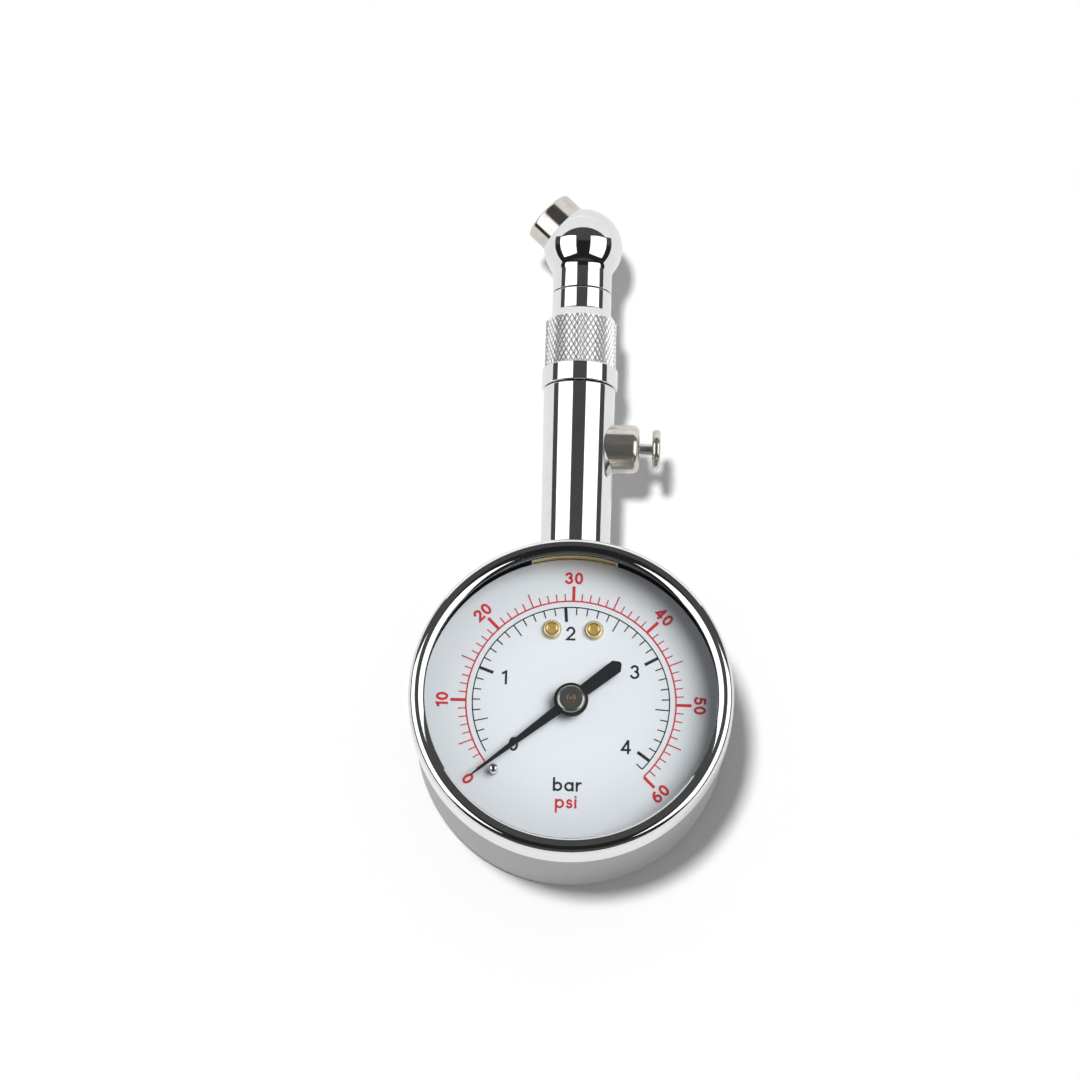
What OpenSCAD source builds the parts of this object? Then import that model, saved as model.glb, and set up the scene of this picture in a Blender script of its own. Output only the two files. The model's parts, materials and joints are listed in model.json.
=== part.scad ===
// Hand-held tyre pressure gauge with a bleed valve and a swivelling angle chuck.
// The origin is the centre of the case's back face. +Z points out of the dial, +Y runs
// up the stem and +X points to the bleed valve. All sizes are millimetres.

/* [Gauge case] */
// Outside diameter of the bezel
bezel_d = 64; // [62:0.5:80]
// Depth from the back of the case to the crest of the bezel
gauge_depth = 35; // [34:0.5:46]
// Thickness of the drawn case wall
case_wall = 0.8; // [0.5:0.1:1]
// Thickness of the case's back
case_back = 1; // [0.6:0.1:1.6]
// Outside radius where the case wall turns into the back
case_corner = 2.5; // [1.6:0.1:4]
// Thickness of the bezel's skirt
bezel_wall = 0.95; // [0.7:0.05:1.2]
// Height of the bezel from its crest to the lower edge of its skirt
bezel_h = 8; // [6:0.5:12]
// Width of the bezel's half-round bead
bead_w = 3.1; // [2.8:0.1:4]
// Width of the notch that the socket passes through
notch_w = 17; // [15:0.5:20]
// Distance between the two screws that hold the socket to the back
case_screw_pitch = 7; // [6.5:0.5:8]
// Distance of those screws from the centre of the case
case_screw_y = 21; // [20:0.5:23]

/* [Window] */
// Thickness of the glass
lens_t = 1.8; // [1.2:0.1:2.2]
// Depth of the glass below the crest of the bezel
lens_recess = 0.9; // [0.7:0.1:1.2]
// Thickness of the gasket under the glass
gasket_t = 0.8; // [0.5:0.1:1.2]
// Gap between the dial and the glass
dial_gap = 4.1; // [3.9:0.1:5]

/* [Dial] */
// Thickness of the dial plate
dial_t = 0.6; // [0.4:0.1:1]
// Gap between the dial's edge and the case wall
dial_edge_gap = 0.9; // [0.6:0.1:1.4]
// Hole that the pointer's arbor passes through
dial_hole_d = 5; // [4:0.1:6]
// Distance between the two dial screws
dial_screw_pitch = 8.3; // [8:0.1:9]
// Distance of the dial screws above the centre
dial_screw_y = 14.8; // [14.5:0.1:16]
// Thread diameter of the dial screws
dial_screw_d = 2; // [1.6:0.1:2.5]
// Head diameter of the dial screws
dial_screw_head_d = 3.2; // [3:0.1:3.6]
// Diameter of the washers under the dial screws
dial_washer_d = 4.1; // [3.9:0.1:4.4]
// Diameter of the pin that the pointer rests against
stop_pin_d = 1.9; // [1.4:0.1:2.2]
// Distance of the stop pin from the centre
stop_pin_r = 20.5; // [18:0.5:22]

/* [Pointer] */
// Length of the pointer from the centre to its tip
pointer_len = 25.2; // [23:0.1:27]
// Length of the pointer's tail
pointer_tail = 12.4; // [9:0.1:14]
// Width of the tail
pointer_tail_w = 2.8; // [2:0.1:3.4]
// Diameter of the pointer's disc
pointer_hub_d = 6.8; // [6.4:0.1:8]
// Diameter of the cap on the pointer
pointer_cap_d = 5.6; // [4.6:0.1:6.2]
// Thickness of the pointer blade
pointer_t = 0.4; // [0.3:0.05:0.6]
// Height of the blade above the dial
pointer_lift = 1.9; // [1.6:0.1:2.1]
// Direction of the pointer at zero, in degrees from +X
pointer_zero = 219; // [215:1:225]

/* [Movement] */
// Module of the pinion and the sector
gear_module = 0.35; // [0.32:0.01:0.36]
// Teeth on the pinion
pinion_teeth = 12; // [12:1:13]
// Teeth that a whole wheel of the sector's size would have
sector_wheel_teeth = 72; // [70:1:72]
// Play between the teeth
backlash = 0.12; // [0.08:0.01:0.14]
// Thickness of the movement's plates
plate_t = 1.4; // [1:0.1:1.6]
// Space between the movement's plates
plate_space = 6.6; // [6.4:0.1:7]
// Distance of the back plate's underside below the stem's axis
movement_sink = 1.4; // [1:0.1:1.8]
// Thickness of the sector
sector_t = 1.2; // [1:0.1:1.3]
// Diameter of the arbors
arbor_d = 1.6; // [1.5:0.1:1.8]
// Diameter of the pivots at the arbors' ends
pivot_d = 1; // [0.8:0.1:1.2]
// Diameter of the pillars between the plates
pillar_d = 3; // [2.6:0.1:3.2]
// Length of the sector's tail from its arbor to the link pin
tail_r = 4.5; // [4.3:0.1:4.8]
// Diameter of the link pins
link_pin_d = 1.2; // [1:0.1:1.4]
// Thickness of the link
link_t = 0.8; // [0.6:0.1:0.9]
// Turns in the hairspring
hairspring_turns = 5; // [3:1:6]
// Width of the hairspring's strip
hairspring_w = 0.7; // [0.5:0.1:0.9]
// Thickness of the hairspring's strip
hairspring_t = 0.2; // [0.15:0.01:0.3]
// Distance of the hairspring's stud from the centre
hairspring_stud_r = 6.4; // [6.2:0.1:6.8]

/* [Bourdon tube] */
// Mean radius of the tube
bourdon_r = 24; // [23.5:0.1:24.5]
// Width of the flattened tube
bourdon_w = 10; // [8:0.5:10.5]
// Thickness of the flattened tube
bourdon_t = 3.4; // [2.8:0.1:3.8]
// Wall of the tube
bourdon_wall = 0.4; // [0.3:0.05:0.6]
// Angle of the tube's free end, from +X
bourdon_end = 210; // [208:0.5:212]

/* [Stem] */
// Height of the stem's axis above the back of the case
stem_z = 17; // [16:0.5:19]
// Diameter of the stem next to the collar
stem_d = 14.5; // [13.5:0.1:14.8]
// Diameter of the stem above its foot
stem_waist_d = 14; // [13:0.1:14.4]
// Diameter of the foot where it meets the case
stem_foot_d = 17.4; // [16:0.1:18]
// Length of the tapered foot
stem_foot_l = 10; // [7:0.5:12]
// Distance from the gauge's centre to the collar
stem_end_y = 68.2; // [66:0.1:80]
// Bore of the stem
stem_bore_d = 9; // [8:0.1:9.4]
// Diameter of the socket's threaded stud
stud_d = 10; // [9.6:0.1:10.4]
// Length of the socket's threaded stud
stud_l = 10; // [7:0.5:12]

/* [Bleed valve] */
// Distance from the gauge's centre to the bleed valve's axis
bleed_y = 56; // [52:0.5:58]
// Diameter of the valve's body
bleed_d = 9.8; // [9:0.1:10.6]
// Distance from the stem's axis to the outer end of the valve's body
bleed_end_x = 12.4; // [12:0.1:14]
// Bore of the spring chamber
bleed_bore_d = 6.4; // [6:0.1:6.8]
// Diameter of the plunger rod
bleed_rod_d = 2.4; // [2:0.1:2.8]
// Diameter of the button
bleed_button_d = 8.2; // [7:0.1:9]
// Thickness of the button
bleed_button_t = 1.65; // [1.2:0.05:2]
// Travel of the button
bleed_stroke = 1.8; // [1.2:0.1:1.9]
// Gap left under the button when it is pressed home
bleed_clear = 0.8; // [0.5:0.1:1.6]
// Wire of the bleed valve's spring
bleed_wire = 0.5; // [0.4:0.05:0.55]
// Turns of the bleed valve's spring
bleed_turns = 4; // [3:1:4]

/* [Collar and swivel] */
// Diameter of the collar's plain band
collar_d = 15.4; // [15:0.1:16.5]
// Length of the collar's plain band
collar_band_l = 4; // [3:0.1:6]
// Diameter over the knurl
knurl_d = 14.4; // [13.8:0.1:14.8]
// Length of the knurl
knurl_l = 10; // [8:0.5:14]
// Depth of the knurl
knurl_depth = 0.36; // [0.2:0.02:0.45]
// Diamonds round the knurl
knurl_count = 44; // [30:1:48]
// Angle between the knurl's lines and the stem
knurl_angle = 30; // [24:1:45]
// Length of the shoulder between the knurl and the neck
shoulder_l = 1.8; // [1.2:0.1:3]
// Diameter of the neck
neck_d = 12; // [11:0.1:12.8]
// Length of the collar's plain nose
nose_l = 4.4; // [3.6:0.1:6]
// Diameter of the swivel shank
shank_d = 7; // [6:0.1:7.4]
// Bore of the swivel shank
shank_bore_d = 4; // [3:0.1:4.5]
// Diameter of the spigot at the stem's end
spigot_d = 11; // [10.6:0.1:11.4]
// Length of the spigot
spigot_l = 6.3; // [5:0.1:7]
// Thickness of the swivel seal
swivel_seal_t = 2.8; // [1.5:0.1:3]

/* [Angle chuck] */
// Diameter of the ball
ball_d = 16; // [15:0.1:18]
// Length of the head's neck below the centre of the ball
head_neck_l = 10; // [9:0.1:12]
// Radius of the curve between the neck and the ball
neck_blend = 2; // [1:0.5:6]
// Distance of the nozzle's seat from the centre of the ball
seat_h = 5.4; // [5:0.1:5.8]
// Angle between the nozzle and the stem
nozzle_angle = 47; // [30:1:60]
// Diameter of the nozzle
nozzle_d = 11.2; // [10.6:0.1:11.8]
// Length of the nozzle outside the ball
nozzle_l = 4.7; // [4:0.1:8]
// Diameter of the nozzle's shank inside the ball
nozzle_shank_d = 9.8; // [9.4:0.1:10.2]
// Bore that takes the tyre valve
valve_bore_d = 8.2; // [8:0.05:8.4]
// Thickness of the valve seal
valve_seal_t = 1.8; // [1.2:0.1:2.2]
// Diameter of the depressor pin
depressor_d = 1.6; // [1.2:0.1:2]

/* [Fits] */
// Gap round a piece that is pressed, screwed or brazed in place
seat_fit = 0.05; // [0.02:0.01:0.08]
// Gap round a piece that turns or slides
running_fit = 0.06; // [0.04:0.01:0.09]
// End gap between turning pieces
end_gap = 0.15; // [0.1:0.01:0.2]

/* [Hidden] */

$fn = 96;
fine = 32;

// Case radii
bezel_r = bezel_d / 2;
case_r = bezel_r - bezel_wall - seat_fit;
case_in_r = case_r - case_wall;
case_in_corner = case_corner - case_wall;
bead_r = bead_w / 2;
window_r = bezel_r - bead_w;

// Levels, counted from the back of the case
crest_z = gauge_depth;
lens_top_z = crest_z - lens_recess;
lens_z = lens_top_z - lens_t;
rim_z = lens_z - gasket_t;
dial_top_z = lens_z - dial_gap;
dial_z = dial_top_z - dial_t;
lens_r = case_r - 0.1;

// Dial
dial_r = case_in_r - dial_edge_gap;
stop_pin_h = 2.6;
dial_washer_t = 0.25;
dial_screw_head_h = 0.8;
dial_screw_l = 5;

// Movement levels
back_z = stem_z - movement_sink;
back_top_z = back_z + plate_t;
front_z = back_top_z + plate_space;
front_top_z = front_z + plate_t;
sector_z = back_top_z + 2;
pinion_z = sector_z - 0.4;
pinion_t = sector_t + 0.8;
link_z = sector_z + sector_t + 0.2;
pin_head_z = link_z + link_t + 0.15;
pin_head_t = 0.5;
hairspring_z = pin_head_z + pin_head_t + 0.1;

// Gear geometry
pressure_angle = 25;
addendum = 0.8;
dedendum = 1.15;
pinion_r = gear_module * pinion_teeth / 2;
sector_r = gear_module * sector_wheel_teeth / 2;
centre_distance = pinion_r + sector_r;
mesh_angle = 17.8;
sector_pos = [-centre_distance * cos(mesh_angle), -centre_distance * sin(mesh_angle)];
sector_step = 360 / sector_wheel_teeth;
sector_tooth_first = -10;
sector_tooth_last = 1;
sector_hub_d = 5;
sector_rim_w = 2.2;

// Link: it runs between the sector's tail and the free end of the Bourdon tube
tail_angle = 168;
tail_pos = sector_pos + tail_r * [cos(tail_angle), sin(tail_angle)];
link_w = 2.4;
open_pivot_gap = 0.45;
link_eye_d = link_w + 2 * open_pivot_gap;
link_head_d = link_pin_d + 1.4;
tip_rim = 0.3;
tip_clear = 0.55;
tip_pin_r = bourdon_r - bourdon_t / 2 - tip_rim - tip_clear - link_eye_d / 2;
tip_pos = tip_pin_r * [cos(bourdon_end), sin(bourdon_end)];
lug_z = sector_z - 0.6;
lug_top_z = link_z - 0.2;

// Socket
socket_w = 14;
socket_half_h = 6;
socket_y = 13;
socket_foot_w = 12;
socket_foot_l = 9;
bourdon_start = 80;
notch_fit = 0.1;
plug_r = dial_r + 0.2;
ledge_y = 8.4;
ledge_w = 12;
ledge_screw_pitch = 8;
ledge_screw_y = 10.6;
movement_screw_d = 2;
movement_screw_grip = 3;
screw_slack = 0.2;
case_screw_d = 3;
case_screw_head_d = 5.6;
case_screw_l = 9;

// Collar and swivel, measured along the stem
collar_y = stem_end_y + end_gap;
knurl_y = collar_y + collar_band_l;
knurl_top_y = knurl_y + knurl_l;
nose_y = knurl_top_y + shoulder_l;
nose_end_y = nose_y + nose_l;
spigot_end_y = stem_end_y + spigot_l;
collar_bore_d = spigot_d + 2 * running_fit;
flange_y = spigot_end_y + swivel_seal_t + 0.15;
flange_t = 1.7;
flange_d = collar_bore_d - 0.3;
collar_floor_y = flange_y + flange_t + end_gap;
nose_bore_d = shank_d + 2 * running_fit;
ring_wire = 1;
ring_y = nose_y + 0.4;
head_y = nose_end_y + 0.2;
ball_y = head_y + head_neck_l;
shank_end_y = ball_y - 4;

// Chuck, measured from the centre of the ball along the nozzle
nozzle_end = seat_h + nozzle_l;
nozzle_floor_t = 2;
nozzle_shank_l = 3.8;
nozzle_shank_h = seat_h - nozzle_shank_l;
spider_h = nozzle_shank_h + nozzle_floor_t;
spider_t = 0.8;
valve_seal_h = spider_h + spider_t;
seal_pocket_d = valve_bore_d + 0.6;
valve_bore_h = valve_seal_h + valve_seal_t;
throat_d = valve_bore_d - 1.2;
head_bore_d = 5;

// Bleed valve, measured from the stem's axis along +X
nipple_d = bleed_d - 1.8;
nipple_x = stem_bore_d / 2 + 0.3;
chamber_x = nipple_x + 0.6;
chamber_end_x = bleed_end_x - 1.4;
bleed_seal_t = 0.4;
plunger_flange_t = 1;
plunger_flange_x = chamber_end_x - bleed_seal_t - plunger_flange_t;
button_x = bleed_end_x + bleed_stroke + bleed_clear;
rod_seat_h = bleed_button_t * 0.6;

chrome = [0.82, 0.83, 0.85];
satin_chrome = [0.7, 0.7, 0.71];
warm_nickel = [0.72, 0.68, 0.62];
brass = [0.8, 0.64, 0.33];
steel = [0.6, 0.62, 0.65];
bronze = [0.7, 0.5, 0.3];
dial_white = [0.9, 0.92, 0.94];
black = [0.06, 0.06, 0.07];
rubber = [0.1, 0.1, 0.1];
clear = [0.85, 0.92, 0.95, 0.35];

// ---- Placing and shaping helpers ----

// Turns +Z into +Y and stands the work on the stem's axis
module along_stem(y = 0) {
    translate([0, y, stem_z]) rotate([-90, 0, 0]) children();
}

// Turns +Z into +X at the bleed valve
module along_bleed(x = 0) {
    translate([x, bleed_y, stem_z]) rotate([0, 90, 0]) children();
}

// Turns +Z into the nozzle's direction, from the centre of the ball
module along_nozzle(h = 0) {
    translate([0, ball_y, stem_z]) rotate([0, 0, nozzle_angle]) rotate([-90, 0, 0])
        translate([0, 0, h]) children();
}

// Rod along +Z that starts at point p
module rod(d, h, p = [0, 0, 0], sides = fine) {
    translate(p) cylinder(d = d, h = h, $fn = sides);
}

// Cone along +Z that starts at height z
module taper(d1, d2, h, z = 0, sides = 48) {
    translate([0, 0, z]) cylinder(d1 = d1, d2 = d2, h = h, $fn = sides);
}

// Hole right through a plate that stands on the XY plane
module drill(d, plate, p = [0, 0]) {
    translate([p[0], p[1], -1]) cylinder(d = d, h = plate + 2, $fn = fine);
}

module ring(d_out, d_in, h) {
    difference() {
        cylinder(d = d_out, h = h);
        translate([0, 0, -1]) cylinder(d = d_in, h = h + 2);
    }
}

// A flattened tube's outline, standing on the XY plane
module oval(w, t) {
    square([t, w - t], center = true);
    for (side = [-1, 1]) translate([0, side * (w - t) / 2]) circle(d = t, $fn = fine);
}

// Straight arm of width w between two points
module arm(a, b, w) {
    d = b - a;
    translate(a) rotate(atan2(d[1], d[0])) translate([0, -w / 2]) square([norm(d), w]);
}

// Region between two directions, out to radius r
module wedge(r, from, to) {
    middle = (from + to) / 2;
    reach = 2 * r;
    polygon([[0, 0], for (a = [from, middle, to]) reach * [cos(a), sin(a)]]);
}

// ---- Gear teeth ----

function involute(a) = tan(a) * 180 / PI - a;

// Half the angle that a tooth takes at radius r
function half_tooth(r, pitch_r, teeth) =
    let (base_r = pitch_r * cos(pressure_angle),
         half_pitch = (90 - backlash / 2 / gear_module * 180 / PI) / teeth,
         at = r > base_r ? acos(base_r / r) : 0)
    half_pitch + involute(pressure_angle) - involute(at);

// Outline of one tooth, centred on +X
module tooth(pitch_r, teeth) {
    root_r = pitch_r - dedendum * gear_module;
    tip_r = pitch_r + addendum * gear_module;
    steps = 4;
    sink = 0.1;
    flank_r = max(root_r - sink / 2, pitch_r * cos(pressure_angle));
    radii = [for (i = [0 : steps]) flank_r + i / steps * (tip_r - flank_r)];
    side = [for (r = radii) [r, half_tooth(r, pitch_r, teeth)]];
    foot = [root_r - sink, side[0][1]];
    up = concat([foot], side);
    polygon(concat(
        [for (p = up) p[0] * [cos(p[1]), -sin(p[1])]],
        [for (i = [len(up) - 1 : -1 : 0]) up[i][0] * [cos(up[i][1]), sin(up[i][1])]]
    ));
}

// ---- Case, bezel and window ----

module socket_outline(clearance) {
    w = notch_w - 2 * clearance;
    circle(d = w);
    translate([-w / 2, -2 * gauge_depth]) square([w, 2 * gauge_depth]);
}

module case_profile(r, corner, z) {
    difference() {
        translate([0, z]) square([r, rim_z - z]);
        translate([r - corner, z]) square([corner + 1, corner]);
    }
    translate([0, z]) square([r - corner, corner]);
    intersection() {
        translate([r - corner, z + corner]) circle(r = corner);
        translate([0, z]) square([r, corner + 0.01]);
    }
}

module case_screw_places() {
    for (side = [-1, 1]) translate([side * case_screw_pitch / 2, case_screw_y, 0]) children();
}

module case_cup() {
    color(satin_chrome) difference() {
        rotate_extrude() case_profile(case_r, case_corner, 0);
        rotate_extrude() intersection() {
            union() {
                case_profile(case_in_r, case_in_corner, case_back);
                translate([0, rim_z - 1]) square([case_in_r, 2]);
            }
            square([case_r, gauge_depth]);
        }
        along_stem(case_in_r - 5) linear_extrude(10) socket_outline(0);
        case_screw_places() {
            drill(case_screw_d + 2 * seat_fit, case_back);
            taper(case_screw_head_d, case_screw_d, case_back + 0.02, -0.01);
        }
    }
}

// Countersunk screws through the back into the socket
module case_screws() {
    slot_w = 0.8;
    slot_h = 0.5;
    sink = 0.03;
    core_d = case_screw_d - 2 * seat_fit;
    color(steel) case_screw_places() difference() {
        union() {
            taper(case_screw_head_d - 0.2, core_d, case_back, sink);
            rod(core_d, case_screw_l - case_back, [0, 0, case_back - 0.1]);
        }
        translate([-case_screw_head_d, -slot_w / 2, -1]) cube([2 * case_screw_head_d, slot_w, 1 + slot_h]);
    }
}

// The bead is a half round over the glass; the skirt drops over the case wall
module bezel_ring() {
    skirt_z = crest_z - bezel_h;
    bead_z = crest_z - bead_r;
    edge = 0.25;
    color(chrome) rotate_extrude($fn = 128) difference() {
        union() {
            translate([bezel_r - bead_r, bead_z]) circle(r = bead_r, $fn = 64);
            translate([case_r + seat_fit, skirt_z]) square([bezel_wall, bead_z - skirt_z]);
        }
        translate([0, lens_top_z - 10]) square([case_r + seat_fit, 10]);
        translate([bezel_r, skirt_z]) rotate(45) square(edge * sqrt(2), center = true);
    }
}

module lens() {
    color(clear) translate([0, 0, lens_z]) cylinder(r = lens_r, h = lens_t, $fn = 128);
}

module lens_gasket() {
    color(rubber) translate([0, 0, rim_z]) ring(2 * lens_r, 2 * (window_r + 0.3), gasket_t);
}

// ---- Dial ----

module dial_screw_places() {
    for (side = [-1, 1]) translate([side * dial_screw_pitch / 2, dial_screw_y, 0]) children();
}

// The pin stands where the pointer's blade rests against it
stop_half_blade = 0.55;
stop_pin_angle = pointer_zero + asin((stop_half_blade + stop_pin_d / 2 + 0.1) / stop_pin_r);

module dial_plate() {
    color(dial_white) translate([0, 0, dial_z]) difference() {
        cylinder(r = dial_r, h = dial_t, $fn = 128);
        drill(dial_hole_d, dial_t);
        dial_screw_places() drill(dial_screw_d + screw_slack, dial_t);
        rotate(stop_pin_angle) drill(stop_pin_d + 2 * seat_fit, dial_t, [stop_pin_r, 0]);
    }
}

module dial_washers() {
    color(steel) dial_screw_places() translate([0, 0, dial_top_z])
        ring(dial_washer_d, dial_screw_d + screw_slack, dial_washer_t);
}

// Cheese-headed brass screws with a dimpled top
module dial_screws() {
    bevel = 0.25;
    dimple_d = 1.1;
    dimple_h = 0.5;
    side_h = dial_screw_head_h - bevel;
    color(brass) dial_screw_places() translate([0, 0, dial_top_z + dial_washer_t]) difference() {
        union() {
            rod(dial_screw_d, dial_screw_l + 0.1, [0, 0, -dial_screw_l]);
            rod(dial_screw_head_d, side_h, sides = 48);
            taper(dial_screw_head_d, dial_screw_head_d - 2 * bevel, bevel, side_h);
        }
        rod(dimple_d, 1, [0, 0, dial_screw_head_h - dimple_h]);
    }
}

module stop_pin() {
    bevel = 0.4;
    side_h = dial_t + stop_pin_h - bevel;
    color(chrome) rotate(stop_pin_angle) translate([stop_pin_r, 0, dial_z]) {
        rod(stop_pin_d, side_h);
        taper(stop_pin_d, stop_pin_d - 2 * bevel, bevel, side_h, fine);
    }
}

// ---- Pointer ----

pointer_z = dial_top_z + pointer_lift;
pointer_bore_d = arbor_d + 2 * seat_fit;
hub_step = 0.3;
cap_z = pointer_z + pointer_t + hub_step;
cap_h = 0.9;

// Needle and counterweight tail in one blade, with a disc round the arbor
module pointer() {
    blade_w = 2.1;
    blade_tip_w = 0.3;
    point_l = 0.8;
    tail_chamfer = 1.1;
    tail_root_w = 2.3;
    tail_end = pointer_tail - tail_chamfer;
    half_tail = pointer_tail_w / 2;
    color(black) translate([0, 0, pointer_z]) rotate(pointer_zero) difference() {
        union() {
            linear_extrude(pointer_t) {
                polygon([
                    [0, -blade_w / 2], [pointer_len - point_l, -blade_tip_w / 2], [pointer_len, 0],
                    [pointer_len - point_l, blade_tip_w / 2], [0, blade_w / 2]
                ]);
                polygon([
                    [0, -tail_root_w / 2], [-tail_end, -half_tail],
                    [-pointer_tail, tail_chamfer - half_tail], [-pointer_tail, half_tail - tail_chamfer],
                    [-tail_end, half_tail], [0, tail_root_w / 2]
                ]);
            }
            rod(pointer_hub_d, pointer_t + hub_step, sides = 64);
        }
        drill(pointer_bore_d, pointer_t + hub_step);
    }
}

// Bush that holds the pointer on its arbor, with a bevelled rim and the arbor's end showing
module pointer_cap() {
    bevel = 0.3;
    color(warm_nickel) translate([0, 0, cap_z]) difference() {
        union() {
            rod(pointer_cap_d, cap_h - bevel, sides = 64);
            taper(pointer_cap_d, pointer_cap_d - 2 * bevel, bevel, cap_h - bevel, 64);
        }
        drill(pointer_bore_d, cap_h);
    }
}

// ---- Movement ----

pillar_places = [[8, 4], [4, -8], [-12, 10.6]];
pillar_end_d = pillar_d - 1;
arbor_end_z = cap_z + cap_h - 0.15;

module plate_outline() {
    hub_d = 10.8;
    sector_boss_d = 9.4;
    pillar_boss_d = pillar_d + 2;
    arm_w = pillar_d + 1.4;
    circle(d = hub_d);
    translate(sector_pos) circle(d = sector_boss_d);
    arm(sector_pos, [0, 0], sector_boss_d - 1);
    for (p = pillar_places) {
        translate(p) circle(d = pillar_boss_d, $fn = 48);
        arm(p, [0, 0], arm_w);
    }
    arm(pillar_places[2], sector_pos, arm_w);
}

// Holes for the pinion's arbor, of diameter d, for the sector's pivot and for the pillars
module plate_holes(d) {
    drill(d, plate_t);
    drill(pivot_d + 2 * running_fit, plate_t, sector_pos);
    for (p = pillar_places) drill(pillar_end_d + 2 * seat_fit, plate_t, p);
}

module ledge_screw_places() {
    for (side = [-1, 1]) translate([side * ledge_screw_pitch / 2, ledge_screw_y, 0]) children();
}

module back_plate() {
    color(brass) translate([0, 0, back_z]) difference() {
        linear_extrude(plate_t) {
            plate_outline();
            translate([-ledge_w / 2, 0]) square([ledge_w, socket_y - 0.1]);
        }
        plate_holes(pivot_d + 2 * running_fit);
        ledge_screw_places() drill(movement_screw_d + screw_slack, plate_t);
    }
}

module front_plate() {
    color(brass) translate([0, 0, front_z]) difference() {
        linear_extrude(plate_t) {
            plate_outline();
            translate([hairspring_stud_r, 0]) circle(d = stud_pin_d + 2.4, $fn = 48);
        }
        plate_holes(arbor_d + 2 * running_fit);
        drill(stud_pin_d + 2 * seat_fit, plate_t, [hairspring_stud_r, 0]);
    }
}

// Shouldered pillars: their ends pass through both plates and are riveted
module movement_pillars() {
    rivet = 0.2;
    color(brass) for (p = pillar_places) translate([p[0], p[1], 0]) {
        rod(pillar_d, plate_space, [0, 0, back_top_z], 48);
        rod(pillar_end_d, plate_space + 2 * (plate_t + rivet), [0, 0, back_z - rivet]);
    }
}

// Screws that hold the movement to the socket's ledge
module movement_screws() {
    head_h = 1.1;
    slot_w = 0.5;
    slot_h = 0.45;
    head_d = movement_screw_d + 1.6;
    shank_l = plate_t + movement_screw_grip;
    color(steel) ledge_screw_places() translate([0, 0, back_top_z]) difference() {
        union() {
            rod(head_d, head_h);
            rod(movement_screw_d, shank_l + 0.1, [0, 0, -shank_l]);
        }
        translate([-head_d, -slot_w / 2, head_h - slot_h]) cube([2 * head_d, slot_w, 1]);
    }
}

module sector_gear() {
    first = mesh_angle + (sector_tooth_first - 0.5) * sector_step;
    last = mesh_angle + (sector_tooth_last + 0.5) * sector_step;
    root_r = sector_r - dedendum * gear_module;
    rim_in_r = root_r - sector_rim_w;
    arm_w = 1.8;
    arm_inset = 6;
    color(brass) translate([sector_pos[0], sector_pos[1], sector_z]) difference() {
        linear_extrude(sector_t) {
            intersection() {
                difference() {
                    circle(r = root_r);
                    circle(r = rim_in_r);
                }
                wedge(root_r, first, last);
            }
            for (k = [sector_tooth_first : sector_tooth_last])
                rotate(mesh_angle + k * sector_step) tooth(sector_r, sector_wheel_teeth);
            for (a = [first + arm_inset, last - arm_inset])
                arm([0, 0], (rim_in_r + sector_rim_w / 2) * [cos(a), sin(a)], arm_w);
            circle(d = sector_hub_d, $fn = 48);
            arm([0, 0], tail_pos - sector_pos, link_w);
            translate(tail_pos - sector_pos) circle(d = link_w + 0.4, $fn = 48);
        }
        drill(arbor_d + 2 * seat_fit, sector_t);
        drill(link_pin_d + 2 * seat_fit, sector_t, tail_pos - sector_pos);
    }
}

// Both arbors' pivots stop short of the plates' outer faces
pivot_inset = 0.2;

module sector_arbor() {
    shoulder_d = arbor_d + 1.6;
    color(steel) translate([sector_pos[0], sector_pos[1], 0]) {
        rod(pivot_d, plate_space + 2 * (plate_t - pivot_inset), [0, 0, back_z + pivot_inset]);
        rod(arbor_d, plate_space - 2 * end_gap, [0, 0, back_top_z + end_gap]);
        rod(shoulder_d, sector_z - back_top_z - end_gap, [0, 0, back_top_z + end_gap]);
    }
}

// Rivet through the sector's tail; the link turns on it
module link_rivet(from_z) {
    rod(link_pin_d, pin_head_z + pin_head_t - from_z, [0, 0, from_z]);
    rod(link_head_d, pin_head_t, [0, 0, pin_head_z]);
}

module sector_pin() {
    color(steel) translate([tail_pos[0], tail_pos[1], 0]) link_rivet(sector_z);
}

module pinion_arbor() {
    collet_d = 2.6;
    color(steel) {
        rod(pivot_d, plate_t + 1, [0, 0, back_z + pivot_inset]);
        rod(arbor_d, arbor_end_z - back_top_z - end_gap, [0, 0, back_top_z + end_gap]);
        translate([0, 0, pinion_z]) linear_extrude(pinion_t) {
            circle(r = pinion_r - dedendum * gear_module);
            for (k = [0 : pinion_teeth - 1])
                rotate(mesh_angle + 180 + (k + 0.5) * 360 / pinion_teeth) tooth(pinion_r, pinion_teeth);
        }
        rod(collet_d, hairspring_w + 0.2, [0, 0, hairspring_z - 0.1]);
    }
}

// Flat spiral that takes the play out of the teeth, from the arbor's collet to its stud
hairspring_in_r = 1.5;
stud_pin_d = 1.2;
hairspring_out_r = hairspring_stud_r - stud_pin_d / 2 - hairspring_t / 2;
module hairspring() {
    steps_per_turn = 24;
    steps = hairspring_turns * steps_per_turn;
    function spiral_r(i) = hairspring_in_r + (hairspring_out_r - hairspring_in_r) * i / steps;
    function at(i, r) = let (a = i * 360 / steps_per_turn) r * [cos(a), sin(a)];
    color(bronze) translate([0, 0, hairspring_z]) linear_extrude(hairspring_w) polygon(concat(
        [for (i = [0 : steps]) at(i, spiral_r(i) - hairspring_t / 2)],
        [for (i = [steps : -1 : 0]) at(i, spiral_r(i) + hairspring_t / 2)]
    ));
}

module hairspring_stud() {
    foot_z = hairspring_z - 0.1;
    color(brass) rod(stud_pin_d, front_top_z - foot_z, [hairspring_stud_r, 0, foot_z]);
}

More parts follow.
